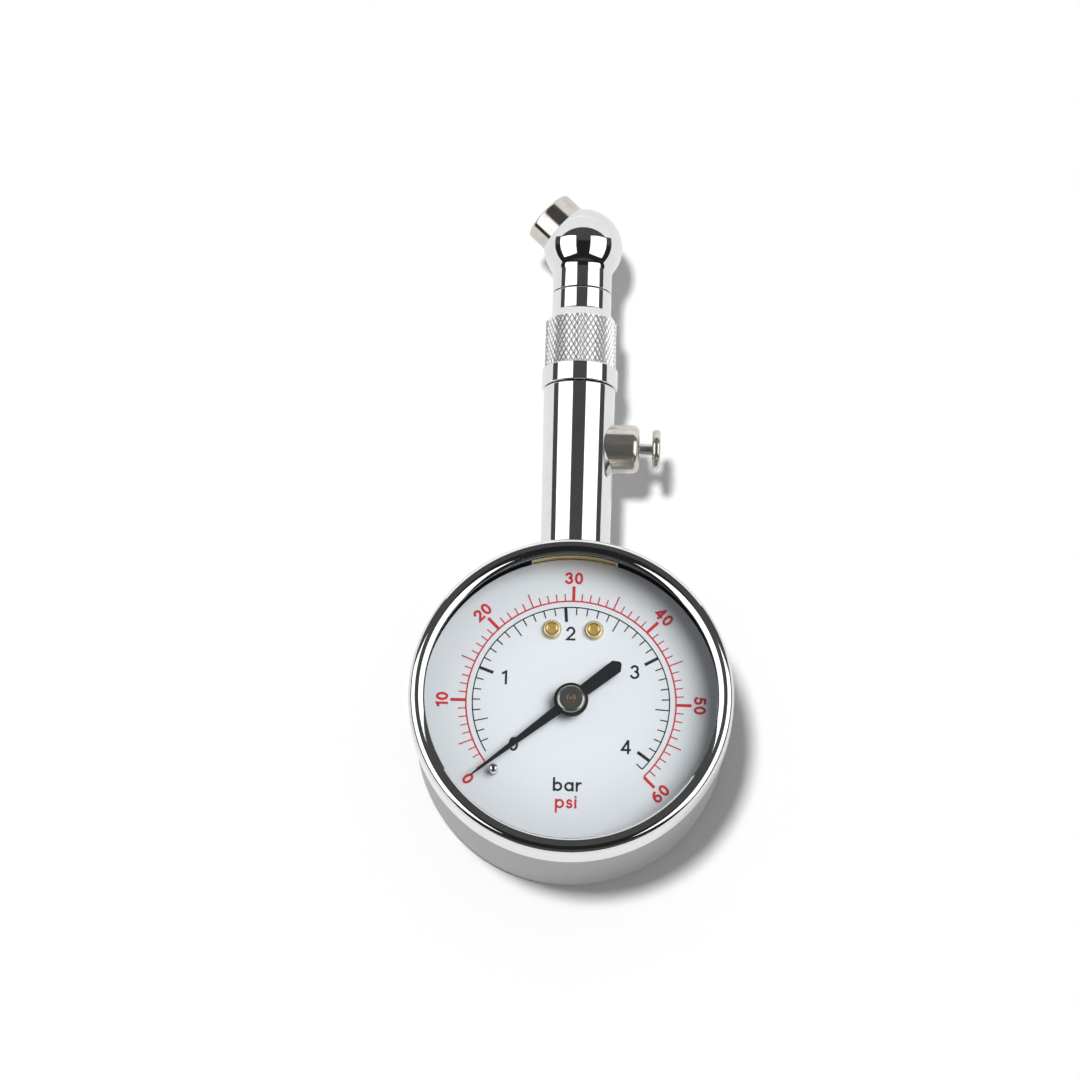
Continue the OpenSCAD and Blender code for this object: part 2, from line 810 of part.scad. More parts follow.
module link() {
    color(steel) translate([0, 0, link_z]) difference() {
        linear_extrude(link_t) {
            arm(tail_pos, tip_pos, link_w * 0.6);
            translate(tail_pos) circle(d = link_w, $fn = 48);
            translate(tip_pos) circle(d = link_eye_d, $fn = 48);
        }
        drill(link_pin_d + 2 * running_fit, link_t, tail_pos);
        drill(link_pin_d + 2 * open_pivot_gap, link_t, tip_pos);
    }
}

// ---- Bourdon tube and socket ----

module bourdon_sweep(w, t, from, to) {
    translate([0, 0, stem_z]) rotate(from) rotate_extrude(angle = to - from)
        translate([bourdon_r, 0]) oval(w, t);
}

// The tube runs clockwise from the socket round to its free end
module bourdon_tube() {
    color(brass) difference() {
        bourdon_sweep(bourdon_w, bourdon_t, bourdon_end - 360, bourdon_start);
        bourdon_sweep(bourdon_w - 2 * bourdon_wall, bourdon_t - 2 * bourdon_wall,
            bourdon_end - 361, bourdon_start + 1);
    }
}

// Plug brazed on the tube's free end, with a lug for the link
module tube_tip() {
    plug_l = 3;
    gap = 0.1;
    in_r = bourdon_r - bourdon_t / 2;
    lug_in_r = tip_pin_r - link_pin_d / 2;
    color(brass) difference() {
        union() {
            rotate(bourdon_end) translate([0, -plug_l - gap, stem_z - bourdon_w / 2 - tip_rim])
                translate([in_r - tip_rim, 0, 0])
                    cube([bourdon_t + 2 * tip_rim, plug_l, bourdon_w + 2 * tip_rim]);
            translate([0, 0, lug_z]) linear_extrude(lug_top_z - lug_z) {
                rotate(bourdon_end) translate([lug_in_r, -plug_l - gap])
                    square([in_r - lug_in_r, plug_l]);
                translate(tip_pos) circle(d = link_head_d, $fn = 48);
            }
        }
        translate([0, 0, lug_z]) drill(link_pin_d + 2 * seat_fit, lug_top_z - lug_z, tip_pos);
    }
}

module tip_pin() {
    color(steel) translate([tip_pos[0], tip_pos[1], 0]) link_rivet(lug_z);
}

// Brass socket: it carries the dial, the movement and the tube, fills the notch in the
// case wall and ends in the threaded stud that the stem screws on
module socket_block() {
    block_z = stem_z - socket_half_h;
    block_top_z = stem_z + socket_half_h;
    post_d = dial_screw_head_d + 2.3;
    ledge_hole_l = movement_screw_grip + 0.2;
    overlap = 0.5;
    end_y = case_in_r - 2;
    passage_d = 4;
    cross_d = 2;
    tube_y = bourdon_r * sin(bourdon_start);
    color(brass) difference() {
        union() {
            translate([-socket_w / 2, socket_y, block_z])
                cube([socket_w, end_y - socket_y, 2 * socket_half_h]);
            translate([-ledge_w / 2, ledge_y, block_z])
                cube([ledge_w, socket_y - ledge_y + overlap, back_z - block_z]);
            translate([-socket_foot_w / 2, case_screw_y - socket_foot_l / 2, case_back])
                cube([socket_foot_w, socket_foot_l, block_z - case_back + overlap]);
            dial_screw_places()
                rod(post_d, dial_z - block_top_z + overlap, [0, 0, block_top_z - overlap], 48);
            difference() {
                intersection() {
                    along_stem(case_in_r - 4) linear_extrude(6) socket_outline(notch_fit);
                    cylinder(r = case_r, h = rim_z);
                }
                translate([0, 0, dial_z - 0.3]) cylinder(r = plug_r, h = gauge_depth);
            }
            along_stem(end_y) rod(stud_d - 2 * seat_fit, case_r - end_y + stud_l, sides = 64);
        }
        along_stem(bourdon_r - 1) rod(passage_d, case_r + stud_l);
        translate([0, tube_y, stem_z]) rotate([0, 90, 0])
            rod(cross_d, bourdon_r * cos(bourdon_start) + 0.3);
        bourdon_sweep(bourdon_w + 2 * seat_fit, bourdon_t + 2 * seat_fit, 20, bourdon_start + 0.2);
        dial_screw_places()
            rod(dial_screw_d + 2 * seat_fit, dial_screw_l + 1, [0, 0, dial_z - dial_screw_l]);
        ledge_screw_places()
            rod(movement_screw_d + 2 * seat_fit, ledge_hole_l, [0, 0, back_z - ledge_hole_l]);
        case_screw_places() rod(case_screw_d, case_screw_l + 0.3);
    }
}

// ---- Stem ----

module stem_tube() {
    foot_y = case_r - 2.5;
    foot_land = 0.4;
    taper_y = case_r + stem_foot_l;
    edge = 0.3;
    spigot_bore_d = 6;
    bore_y = case_r + stud_l;
    bore_end_y = stem_end_y - 3;
    color(chrome) difference() {
        along_stem() rotate_extrude() polygon([
            [0, foot_y], [stem_foot_d / 2, foot_y],
            [stem_foot_d / 2, case_r + foot_land], [stem_waist_d / 2, taper_y],
            [stem_d / 2, stem_end_y - edge], [stem_d / 2 - edge, stem_end_y], [spigot_d / 2, stem_end_y],
            [spigot_d / 2, spigot_end_y - edge], [spigot_d / 2 - edge, spigot_end_y], [0, spigot_end_y]
        ]);
        cylinder(r = case_r + seat_fit, h = gauge_depth, $fn = 128);
        along_stem(foot_y - 1) rod(stud_d, bore_y - foot_y + 1.5, sides = 64);
        along_stem(bore_y) rod(stem_bore_d, bore_end_y - bore_y, sides = 64);
        along_stem(bore_end_y - 1) rod(spigot_bore_d, spigot_l + 5, sides = 48);
        along_bleed() rod(nipple_d + 2 * seat_fit, stem_d, sides = 64);
    }
}

// ---- Bleed valve ----

module bleed_body() {
    bevel = 0.8;
    vent_d = 3;
    rod_hole_d = bleed_rod_d + 2 * running_fit;
    color(warm_nickel) difference() {
        union() {
            difference() {
                along_bleed() union() {
                    rod(bleed_d, bleed_end_x - bevel - 2, [0, 0, 2], 64);
                    taper(bleed_d, bleed_d - 2 * bevel, bevel, bleed_end_x - bevel, 64);
                }
                along_stem() rotate_extrude() polygon([
                    [0, case_r], [stem_waist_d / 2 + seat_fit, case_r + stem_foot_l],
                    [stem_d / 2 + seat_fit, stem_end_y], [0, stem_end_y]
                ]);
            }
            along_bleed(nipple_x) rod(nipple_d, bleed_end_x - nipple_x - 2, sides = 64);
        }
        along_bleed(chamber_x) rod(bleed_bore_d, chamber_end_x - chamber_x, sides = 48);
        along_bleed() rod(vent_d, chamber_x + 0.5);
        along_bleed(chamber_x) rod(rod_hole_d, bleed_end_x);
    }
}

module bleed_plunger() {
    color(steel) along_bleed(plunger_flange_x) {
        rod(bleed_bore_d - 0.6, plunger_flange_t, sides = 48);
        rod(bleed_rod_d, button_x + rod_seat_h - plunger_flange_x);
    }
}

module bleed_seal() {
    color(rubber) along_bleed(chamber_end_x - bleed_seal_t)
        ring(bleed_bore_d - 0.8, bleed_rod_d + 2 * seat_fit, bleed_seal_t - 0.02);
}

module bleed_button() {
    round_r = bleed_button_t * 0.42;
    side_z = bleed_button_t / 2 - round_r;
    color(warm_nickel) along_bleed(button_x) difference() {
        union() {
            rod(bleed_button_d - 2 * round_r, bleed_button_t, sides = 64);
            rotate_extrude($fn = 64) intersection() {
                translate([bleed_button_d / 2 - round_r, bleed_button_t / 2]) union() {
                    for (side = [-1, 1]) translate([0, side * side_z]) circle(r = round_r, $fn = fine);
                    square([2 * round_r, 2 * side_z], center = true);
                }
                square([bleed_button_d, bleed_button_t]);
            }
        }
        rod(bleed_rod_d + 2 * seat_fit, 1 + rod_seat_h + 0.02, [0, 0, -1]);
    }
}

// Compression spring, swept as one closed tube of six sides
module bleed_spring() {
    sides = 6;
    per_turn = 16;
    coil_r = bleed_bore_d / 2 - bleed_wire / 2 - 0.25;
    rings = bleed_turns * per_turn;
    from_x = chamber_x + bleed_wire / 2 + 0.03;
    to_x = plunger_flange_x - bleed_wire / 2 - 0.03;
    function ring_point(i, s) =
        let (a = i * 360 / per_turn, t = s * 360 / sides, r = coil_r + bleed_wire / 2 * cos(t))
        [r * cos(a), r * sin(a), from_x + (to_x - from_x) * i / rings + bleed_wire / 2 * sin(t)];
    points = [for (i = [0 : rings]) for (s = [0 : sides - 1]) ring_point(i, s)];
    skin = [for (i = [0 : rings - 1]) for (s = [0 : sides - 1]) let (
        a = i * sides + s, b = i * sides + (s + 1) % sides, c = a + sides, d = b + sides)
        each [[a, b, d], [a, d, c]]];
    start_cap = [for (s = [1 : sides - 2]) [0, s + 1, s]];
    last = rings * sides;
    end_cap = [for (s = [1 : sides - 2]) [last, last + s, last + s + 1]];
    color(steel) along_bleed() polyhedron(points, concat(skin, start_cap, end_cap));
}

// ---- Collar and swivel ----

// Diamond knurl: a ring of pyramids whose valleys run round the collar both ways
module knurl() {
    columns = 2 * knurl_count;
    peak_r = knurl_d / 2;
    valley_r = peak_r - knurl_depth;
    cell_w = PI * knurl_d / columns;
    rows = round(knurl_l * tan(knurl_angle) / cell_w);
    function height(i, j) = (i + j) % 2 == 0 ? peak_r : valley_r;
    points = concat(
        [for (j = [0 : rows]) for (i = [0 : columns - 1])
            let (a = i * 360 / columns, r = j == 0 || j == rows ? valley_r : height(i, j))
            [r * cos(a), r * sin(a), j * knurl_l / rows]],
        [[0, 0, 0], [0, 0, knurl_l]]
    );
    function id(i, j) = j * columns + i % columns;
    skin = [for (j = [0 : rows - 1]) for (i = [0 : columns - 1]) let (
        a = id(i, j), b = id(i + 1, j), c = id(i + 1, j + 1), d = id(i, j + 1))
        each ((i + j) % 2 == 0 ? [[a, d, b], [b, d, c]] : [[a, c, b], [a, d, c]])];
    base = (rows + 1) * columns;
    caps = [for (i = [0 : columns - 1])
        each [[base, id(i, 0), id(i + 1, 0)], [base + 1, id(i + 1, rows), id(i, rows)]]];
    polyhedron(points, concat(skin, caps));
}

module swivel_collar() {
    edge = 0.3;
    sink = 0.05;
    core_r = knurl_d / 2 - knurl_depth - 0.3;
    ring_groove_w = ring_wire + 0.2;
    color(chrome) difference() {
        union() {
            along_stem() rotate_extrude() polygon([
                [0, collar_y], [collar_d / 2 - edge, collar_y], [collar_d / 2, collar_y + edge],
                [collar_d / 2, knurl_y - edge], [collar_d / 2 - edge, knurl_y], [core_r, knurl_y],
                [core_r, knurl_top_y], [knurl_d / 2 - 0.1, knurl_top_y], [neck_d / 2, nose_y],
                [neck_d / 2, nose_end_y - edge / 2], [neck_d / 2 - edge / 2, nose_end_y], [0, nose_end_y]
            ]);
            along_stem(knurl_y - sink) scale([1, 1, (knurl_l + 2 * sink) / knurl_l]) knurl();
        }
        along_stem(collar_y - 1) rod(collar_bore_d, collar_floor_y - collar_y + 1, sides = 64);
        along_stem(collar_y) rod(nose_bore_d, nose_end_y, sides = 64);
        along_stem(ring_y - ring_groove_w / 2)
            rod(nose_bore_d + 1.5 * ring_wire, ring_groove_w, sides = 64);
    }
}

// O-ring between the collar's nose and the shank
module shank_ring() {
    color(rubber) along_stem(ring_y) rotate_extrude()
        translate([nose_bore_d / 2 + ring_wire * 0.38, 0]) circle(d = ring_wire * 0.7, $fn = fine);
}

// Flanged tube that the head turns on; its flange is trapped in the collar
module swivel_shank() {
    color(brass) difference() {
        along_stem(flange_y) {
            rod(flange_d, flange_t, sides = 64);
            rod(shank_d, shank_end_y - flange_y, sides = 64);
        }
        along_stem(flange_y - 1) rod(shank_bore_d, shank_end_y - flange_y + 2, sides = 48);
    }
}

// Rubber seal between the stem's end and the shank's flange
module swivel_seal() {
    color(rubber) along_stem(spigot_end_y) ring(flange_d, shank_d - 0.6, swivel_seal_t);
}

// ---- Angle chuck ----

module head_profile() {
    ball_r = ball_d / 2;
    neck_r = neck_d / 2;
    edge = 0.15;
    blend_y = ball_y - sqrt(pow(ball_r + neck_blend, 2) - pow(neck_r + neck_blend, 2));
    touch = ball_r / (ball_r + neck_blend);
    intersection() {
        translate([0, ball_y]) circle(r = ball_r, $fn = 128);
        translate([0, ball_y - ball_r]) square([ball_r + 1, 2 * ball_r]);
    }
    difference() {
        polygon([[0, head_y], [neck_r - edge, head_y], [neck_r, head_y + edge], [neck_r, blend_y],
            [touch * (neck_r + neck_blend) + 0.01, ball_y - touch * (ball_y - blend_y)], [0, ball_y]]);
        translate([neck_r + neck_blend, blend_y]) circle(r = neck_blend, $fn = 128);
    }
}

module ball_head() {
    color(chrome) difference() {
        along_stem() rotate_extrude($fn = 128) head_profile();
        along_nozzle(seat_h) cylinder(d = ball_d, h = ball_d);
        along_nozzle(nozzle_shank_h - 0.1) rod(nozzle_shank_d + 2 * seat_fit, ball_d, sides = 64);
        along_nozzle() rod(head_bore_d, ball_d, sides = 48);
        along_stem(head_y - 1) rod(shank_d + 2 * seat_fit, shank_end_y - head_y + 1.1, sides = 64);
        along_stem(shank_end_y) rod(head_bore_d, ball_y - shank_end_y + 1, sides = 48);
    }
}

module chuck_nozzle() {
    edge = 0.5;
    seat_gap = 0.02;
    color(warm_nickel) along_nozzle() difference() {
        union() {
            rod(nozzle_d, nozzle_l - edge - seat_gap, [0, 0, seat_h + seat_gap], 64);
            rotate_extrude($fn = 64) intersection() {
                translate([nozzle_d / 2 - edge, nozzle_end - edge]) circle(r = edge, $fn = fine);
                translate([0, nozzle_end - edge]) square([nozzle_d, edge]);
            }
            rod(nozzle_d - 2 * edge, edge + 0.01, [0, 0, nozzle_end - edge - 0.01], 64);
            rod(nozzle_shank_d, nozzle_shank_l + 0.5, [0, 0, nozzle_shank_h], 64);
        }
        rod(valve_bore_d, nozzle_end, [0, 0, valve_bore_h - 0.1], 64);
        rod(seal_pocket_d, valve_bore_h - spider_h, [0, 0, spider_h], 64);
        rod(throat_d, nozzle_end, sides = 64);
    }
}

// Pin on a drilled disc: it presses the tyre valve's core open
module depressor_pin() {
    air_hole_d = 1.2;
    air_hole_r = (depressor_d + air_hole_d) / 2 + 0.25;
    color(steel) along_nozzle(spider_h) difference() {
        union() {
            rod(seal_pocket_d - 2 * seat_fit, spider_t, sides = 64);
            rod(depressor_d, spider_t + valve_seal_t - 0.1);
        }
        for (a = [0 : 120 : 240]) rotate(a) drill(air_hole_d, spider_t, [air_hole_r, 0]);
    }
}

module valve_seal() {
    color(rubber) along_nozzle(valve_seal_h)
        ring(seal_pocket_d - 2 * seat_fit, depressor_d + 2.8, valve_seal_t);
}

case_cup();
case_screws();
bezel_ring();
lens();
lens_gasket();
dial_plate();
dial_screws();
dial_washers();
stop_pin();
pointer();
pointer_cap();
socket_block();
bourdon_tube();
tube_tip();
tip_pin();
link();
sector_pin();
sector_gear();
sector_arbor();
pinion_arbor();
hairspring();
hairspring_stud();
back_plate();
front_plate();
movement_pillars();
movement_screws();
stem_tube();
bleed_body();
bleed_plunger();
bleed_button();
bleed_seal();
bleed_spring();
swivel_collar();
swivel_shank();
shank_ring();
swivel_seal();
ball_head();
chuck_nozzle();
valve_seal();
depressor_pin();
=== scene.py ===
"""Finishes and studio for a hand-held tyre pressure gauge, laid out as a Blender add-on."""
import json
from math import asin, atan2, cos, degrees, hypot, pi, radians, sin, sqrt, tan

import bmesh
import bpy
from bpy.props import FloatProperty, FloatVectorProperty, IntProperty, PointerProperty
from mathutils import Matrix, Vector


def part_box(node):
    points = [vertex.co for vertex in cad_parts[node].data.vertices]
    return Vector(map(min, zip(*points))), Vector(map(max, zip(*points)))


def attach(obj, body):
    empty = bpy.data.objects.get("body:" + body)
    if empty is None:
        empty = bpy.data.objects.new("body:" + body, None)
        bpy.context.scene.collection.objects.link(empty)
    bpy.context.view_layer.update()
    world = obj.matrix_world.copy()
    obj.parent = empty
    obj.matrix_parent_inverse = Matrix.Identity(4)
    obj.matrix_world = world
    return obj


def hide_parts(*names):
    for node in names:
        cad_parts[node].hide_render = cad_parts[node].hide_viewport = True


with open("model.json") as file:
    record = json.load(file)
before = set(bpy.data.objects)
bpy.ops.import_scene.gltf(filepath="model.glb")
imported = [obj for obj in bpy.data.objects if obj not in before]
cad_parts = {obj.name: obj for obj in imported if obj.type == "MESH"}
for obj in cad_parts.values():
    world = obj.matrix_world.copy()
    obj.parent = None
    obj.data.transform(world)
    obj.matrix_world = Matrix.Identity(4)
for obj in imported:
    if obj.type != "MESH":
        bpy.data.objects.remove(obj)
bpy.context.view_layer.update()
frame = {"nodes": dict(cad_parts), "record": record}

bl_info = {
    "name": "Tyre pressure gauge",
    "version": (1, 0, 0),
    "blender": (4, 5, 0),
    "location": "View3D > Sidebar > Gauge",
    "description": "Turns, prints and finishes the pieces of a tyre pressure gauge",
    "category": "Add Mesh",
}

MM = 0.001
MADE = "_finish"


# --- Places taken from the rigid parts -------------------------------------------------------

def lowest(node):
    """Lowest corner of a rigid part at rest."""
    return Vector(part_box(node)[0])


def highest(node):
    """Highest corner of a rigid part at rest."""
    return Vector(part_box(node)[1])


def middle(node):
    """Centre of a rigid part's box at rest."""
    return (lowest(node) + highest(node)) / 2


def half_span(node):
    """Half the size of a rigid part's box at rest."""
    return (highest(node) - lowest(node)) / 2


def line_from(place, direction):
    """Frame of a turned piece whose own height runs from a place in a direction."""
    turn = Vector((0, 0, 1)).rotation_difference(Vector(direction))
    return Matrix.Translation(place) @ turn.to_matrix().to_4x4()


CASE_R = highest("case_cup").x
BEZEL_R = highest("bezel_ring").x
CREST_Z = highest("bezel_ring").z
SKIRT_Z = lowest("bezel_ring").z
LENS_TOP = highest("lens").z
DIAL_TOP = highest("dial_plate").z
WASHER_TOP = highest("dial_washers").z
STEM_Z = middle("stem_tube").z
STEM_END = highest("stem_tube").y
COLLAR_R = highest("swivel_collar").x
COLLAR_Y = lowest("swivel_collar").y
COLLAR_END = highest("swivel_collar").y
KNURL_Y = COLLAR_Y + 4 * MM
KNURL_END = KNURL_Y + 10 * MM
BALL_R = highest("ball_head").x
HEAD_Y = lowest("ball_head").y
BLEED_Y = middle("bleed_button").y
BLEED_R = half_span("bleed_body").y
BLEED_END = highest("bleed_body").x
BUTTON_R = half_span("bleed_button").y
BUTTON_X = lowest("bleed_button").x
BUTTON_END = highest("bleed_button").x
SEAT_FIT = 0.05 * MM
STEM_LINE = line_from((0, 0, STEM_Z), (0, 1, 0))
BLEED_LINE = line_from((0, BLEED_Y, STEM_Z), (1, 0, 0))


# --- Sizes and colours that a user would change ----------------------------------------------

def length_prop(name, description, millimetres):
    return FloatProperty(name=name, description=description, default=millimetres * MM, unit="LENGTH")


def count_prop(name, description, default, least):
    return IntProperty(name=name, description=description, default=default, min=least)


def colour_prop(name, description, default):
    return FloatVectorProperty(name=name, description=description, default=default, subtype="COLOR")


def light_prop(name, description, default):
    return FloatProperty(name=name, description=description, default=default, min=0)


class GaugeSizes(bpy.types.PropertyGroup):
    """Sizes of the turned and printed pieces."""

    facets: count_prop("Facets", "Facets around a turned piece", 192, 48)
    stem_foot_r: length_prop("Stem foot", "Radius of the stem where it meets the case", 8.7)
    stem_waist_r: length_prop("Stem waist", "Radius of the stem above its foot", 7)
    stem_r: length_prop("Stem", "Radius of the stem next to the collar", 7.25)
    foot_length: length_prop("Foot length", "Length of the stem's flared foot", 7.5)
    neck_r: length_prop("Neck", "Radius of the neck under the ball", 6)
    ball_y: length_prop("Ball centre", "Distance of the ball from the gauge's centre", 98.75)
    knurl_r: length_prop("Knurl", "Radius over the knurl", 7.2)
    knurl_depth: length_prop("Knurl depth", "Depth of the knurl's grooves", 0.24)
    knurl_diamonds: count_prop("Diamonds", "Diamonds around the knurl", 44, 12)
    knurl_rows: count_prop("Knurl rows", "Half diamonds along the knurl", 11, 3)
    nozzle_angle: FloatProperty(
        name="Nozzle angle", description="Angle between the stem and the nozzle",
        default=radians(47), subtype="ANGLE")
    nozzle_r: length_prop("Nozzle", "Outside radius of the nozzle", 5.6)
    valve_bore_r: length_prop("Valve bore", "Radius of the bore that takes the tyre valve", 4.1)
    ink: length_prop("Ink", "Thickness of the dial's print", 0.03)
    psi_arc_r: length_prop("Outer scale", "Radius of the outer scale's arc", 20.73)
    bar_arc_r: length_prop("Inner scale", "Radius of the inner scale's arc", 19.46)
    psi_numeral: length_prop("Outer numerals", "Height of the outer numerals", 2.45)
    bar_numeral: length_prop("Inner numerals", "Height of the inner numerals", 2.85)
    pointer_length: length_prop("Pointer", "Length of the pointer to its tip", 25.2)


class GaugeColours(bpy.types.PropertyGroup):
    """Colours of the finishes."""

    chrome: colour_prop("Chrome", "Polished chrome plate", (0.82, 0.83, 0.84))
    satin: colour_prop("Satin chrome", "Satin plate of the case", (0.33, 0.33, 0.333))
    nickel: colour_prop("Nickel", "Turned nickel plate", (0.72, 0.69, 0.63))
    dark_nickel: colour_prop("Dark nickel", "Dark plate of the pointer's cap", (0.56, 0.54, 0.51))
    steel: colour_prop("Steel", "Turned steel", (0.8, 0.8, 0.78))
    brass: colour_prop("Brass", "Machined brass", (0.98, 0.77, 0.38))
    screw_gold: colour_prop("Screw brass", "Polished brass of the dial screws", (1.0, 0.67, 0.2))
    bronze: colour_prop("Bronze", "Drawn phosphor bronze", (0.68, 0.4, 0.19))
    enamel: colour_prop("Dial enamel", "White enamel of the dial", (0.82, 0.835, 0.875))
    red_ink: colour_prop("Red ink", "Ink of the outer scale", (0.5, 0.03, 0.038))
    black_ink: colour_prop("Black ink", "Ink of the inner scale", (0.018, 0.02, 0.024))
    black_paint: colour_prop("Black paint", "Paint of the pointer", (0.014, 0.015, 0.017))
    rubber: colour_prop("Rubber", "Moulded black rubber", (0.022, 0.022, 0.022))


class StudioSettings(bpy.types.PropertyGroup):
    """Light, floor and camera."""

    panel_light: light_prop("Light panels", "Radiance of the two light panels", 1.6)
    key_light: light_prop("Key light", "Light of the key on a level white surface", 0.78)
    fill_light: light_prop("Fill light", "Light of the room on a level white surface", 0.3)
    ceiling: light_prop("Ceiling", "Radiance of the dark ceiling in reflections", 0.07)
    surround: light_prop("Surround", "Radiance of the pale surround in reflections", 0.88)
    camera_distance: length_prop("Camera distance", "Distance of the camera from the dial", 1050)


def sizes():
    return bpy.context.scene.gauge_sizes


def colours():
    return bpy.context.scene.gauge_colours


def studio():
    return bpy.context.scene.gauge_studio


# --- Shader expressions ----------------------------------------------------------------------

class Wire:
    """One output of a node, usable in expressions: each operator adds the node that works it out."""

    def __init__(self, nodes, node, output=0):
        self.nodes = nodes
        self.node = node
        self.socket = node.outputs[output] if node.outputs else None

    def out(self, name):
        return Wire(self.nodes, self.node, name)

    def work(self, operation, *terms):
        kind = "ShaderNodeVectorMath" if self.socket.type == "VECTOR" else "ShaderNodeMath"
        return self.nodes.node(kind, {"operation": operation}, dict(enumerate(terms)))

    def __add__(self, other):
        return self.work("ADD", self, other)

    def __radd__(self, other):
        return self.work("ADD", other, self)

    def __sub__(self, other):
        return self.work("SUBTRACT", self, other)

    def __rsub__(self, other):
        return self.work("SUBTRACT", other, self)

    def __mul__(self, other):
        return self.work("MULTIPLY", self, other)

    def __rmul__(self, other):
        return self.work("MULTIPLY", other, self)

    def __pow__(self, other):
        return self.work("POWER", self, other)

    def __abs__(self):
        return self.work("ABSOLUTE", self)

    def larger(self, other):
        return self.work("MAXIMUM", self, other)

    def smaller(self, other):
        return self.work("MINIMUM", self, other)

    def ramp(self, low, high):
        """0 below low, 1 above high and a smooth rise between them."""
        return self.nodes.node(
            "ShaderNodeMapRange", {"interpolation_type": "SMOOTHSTEP"},
            {"Value": self, "From Min": low, "From Max": high})

    def parts(self):
        """The three components of a vector."""
        split = self.nodes.node("ShaderNodeSeparateXYZ", {}, {0: self})
        return split.out("X"), split.out("Y"), split.out("Z")


class Nodes:
    """A node tree under construction."""

    def __init__(self, tree):
        self.tree = tree
        tree.nodes.clear()

    def node(self, kind, settings=None, sockets=None):
        """Adds a node, applies its settings, then gives its sockets their values or links."""
        node = self.tree.nodes.new(kind)
        for name, value in (settings or {}).items():
            setattr(node, name, value)
        for key, value in (sockets or {}).items():
            self.feed(node.inputs[key], value)
        return Wire(self, node)

    def feed(self, socket, value):
        if isinstance(value, Wire):
            self.tree.links.new(value.socket, socket)
        elif socket.type == "VECTOR" and not hasattr(value, "__len__"):
            socket.default_value = (value, value, value)
        elif socket.type == "RGBA":
            socket.default_value = (*value[:3], 1)
        else:
            socket.default_value = value

    def blend(self, factor, first, second):
        """The first colour where factor is 0, and the second where it is 1."""
        mix = self.node("ShaderNodeMix", {"data_type": "RGBA"}, {"Factor": factor, 6: first, 7: second})
        return mix.out(2)

    def noise(self, at, scale, detail=2.0):
        return self.node("ShaderNodeTexNoise", {}, {"Vector": at, "Scale": scale, "Detail": detail})

    def rings(self, along, scale):
        """Noise that changes in one direction only, as the marks of a lathe tool do."""
        sockets = {"W": along, "Scale": scale, "Detail": 3.0}
        return self.node("ShaderNodeTexNoise", {"noise_dimensions": "1D"}, sockets)


class Finish(Nodes):
    """A material with one Principled surface; its places are in millimetres from the origin."""

    def __init__(self, name, colour, metallic=0.0, roughness=0.4, specular=0.5):
        self.material = bpy.data.materials.new(name + MADE)
        self.material.use_nodes = True
        super().__init__(self.material.node_tree)
        self.colour = tuple(colour)
        self.surface = self.node("ShaderNodeBsdfPrincipled", {}, {
            "Base Color": self.colour, "Metallic": metallic, "Roughness": roughness,
            "Specular IOR Level": specular})
        self.node("ShaderNodeOutputMaterial", {}, {"Surface": self.surface})
        self.at = self.node("ShaderNodeTexCoord").out("Object") * (1 / MM)

    def set(self, socket, value):
        self.feed(self.surface.node.inputs[socket], value)

    def tint(self, factor, amount):
        """Base colour that falls by the given share where factor is 1, or rises by a negative one."""
        changed = tuple(part * (1 - amount) for part in self.colour)
        self.set("Base Color", self.blend(factor, self.colour, changed))

    def relief(self, height, depth):
        """Surface relief of the given depth in metres."""
        self.set("Normal", self.node("ShaderNodeBump", {}, {"Height": height, "Distance": depth}))


def distance(x, y):
    """Length of a line with the given components."""
    return (x * x + y * y) ** 0.5


def grey(value):
    return value, value, value


def chrome():
    """Polished plate: a sharp reflection with a faint haze and scattered fine specks."""
    finish = Finish("chrome", colours().chrome, metallic=1)
    haze = finish.noise(finish.at, 0.22, 4)
    specks = finish.noise(finish.at, 4.2, 1).ramp(0.77, 0.8)
    finish.set("Roughness", 0.03 + 0.045 * haze + 0.25 * specks)
    finish.tint(haze.ramp(0.35, 0.75), 0.05)
    finish.relief(finish.noise(finish.at, 0.16, 1), 0.004 * MM)
    return finish.material


def satin_chrome():
    """Drawn and satin-plated case wall, with fine marks that run around it."""
    finish = Finish("satin_case", colours().satin, metallic=1)
    x, y, z = finish.at.parts()
    around = finish.node("ShaderNodeMath", {"operation": "ARCTAN2"}, {0: y, 1: x})
    streak_at = finish.node("ShaderNodeCombineXYZ", {}, {"X": around * 6, "Y": z * 5, "Z": 0.0})
    streaks = finish.noise(streak_at, 2.6, 4)
    grain = finish.noise(finish.at, 9.0, 2)
    finish.set("Roughness", 0.25 + 0.12 * streaks + 0.06 * grain)
    finish.tint(streaks.ramp(0.3, 0.7), 0.14)
    finish.relief(streaks * 0.7 + grain * 0.3, 0.012 * MM)
    return finish.material


def turned(name, colour, roughness, groove, along, metallic=1):
    """Turned metal: grooves of the lathe tool across the given direction, and a little tarnish."""
    finish = Finish(name, colour, metallic=metallic)
    reach = finish.node("ShaderNodeVectorMath", {"operation": "DOT_PRODUCT"}, {0: finish.at, 1: along})
    grooves = finish.rings(reach.out("Value"), 5.5)
    tarnish = finish.noise(finish.at, 0.5, 3)
    finish.set("Roughness", roughness + 0.14 * grooves + 0.08 * tarnish)
    finish.tint(tarnish.ramp(0.35, 0.75), 0.16)
    finish.relief(grooves, groove)
    return finish.material


def satin_nickel():
    """Plate of the nozzle, with grooves around the nozzle's own line."""
    slant = (-sin(sizes().nozzle_angle), cos(sizes().nozzle_angle), 0)
    return turned("satin_nickel", colours().nickel, 0.03, 0.004 * MM, slant)


def valve_nickel():
    """Plate of the bleed valve, with coarser grooves around the valve."""
    return turned("valve_nickel", colours().nickel, 0.06, 0.003 * MM, (1, 0, 0), 0.9)


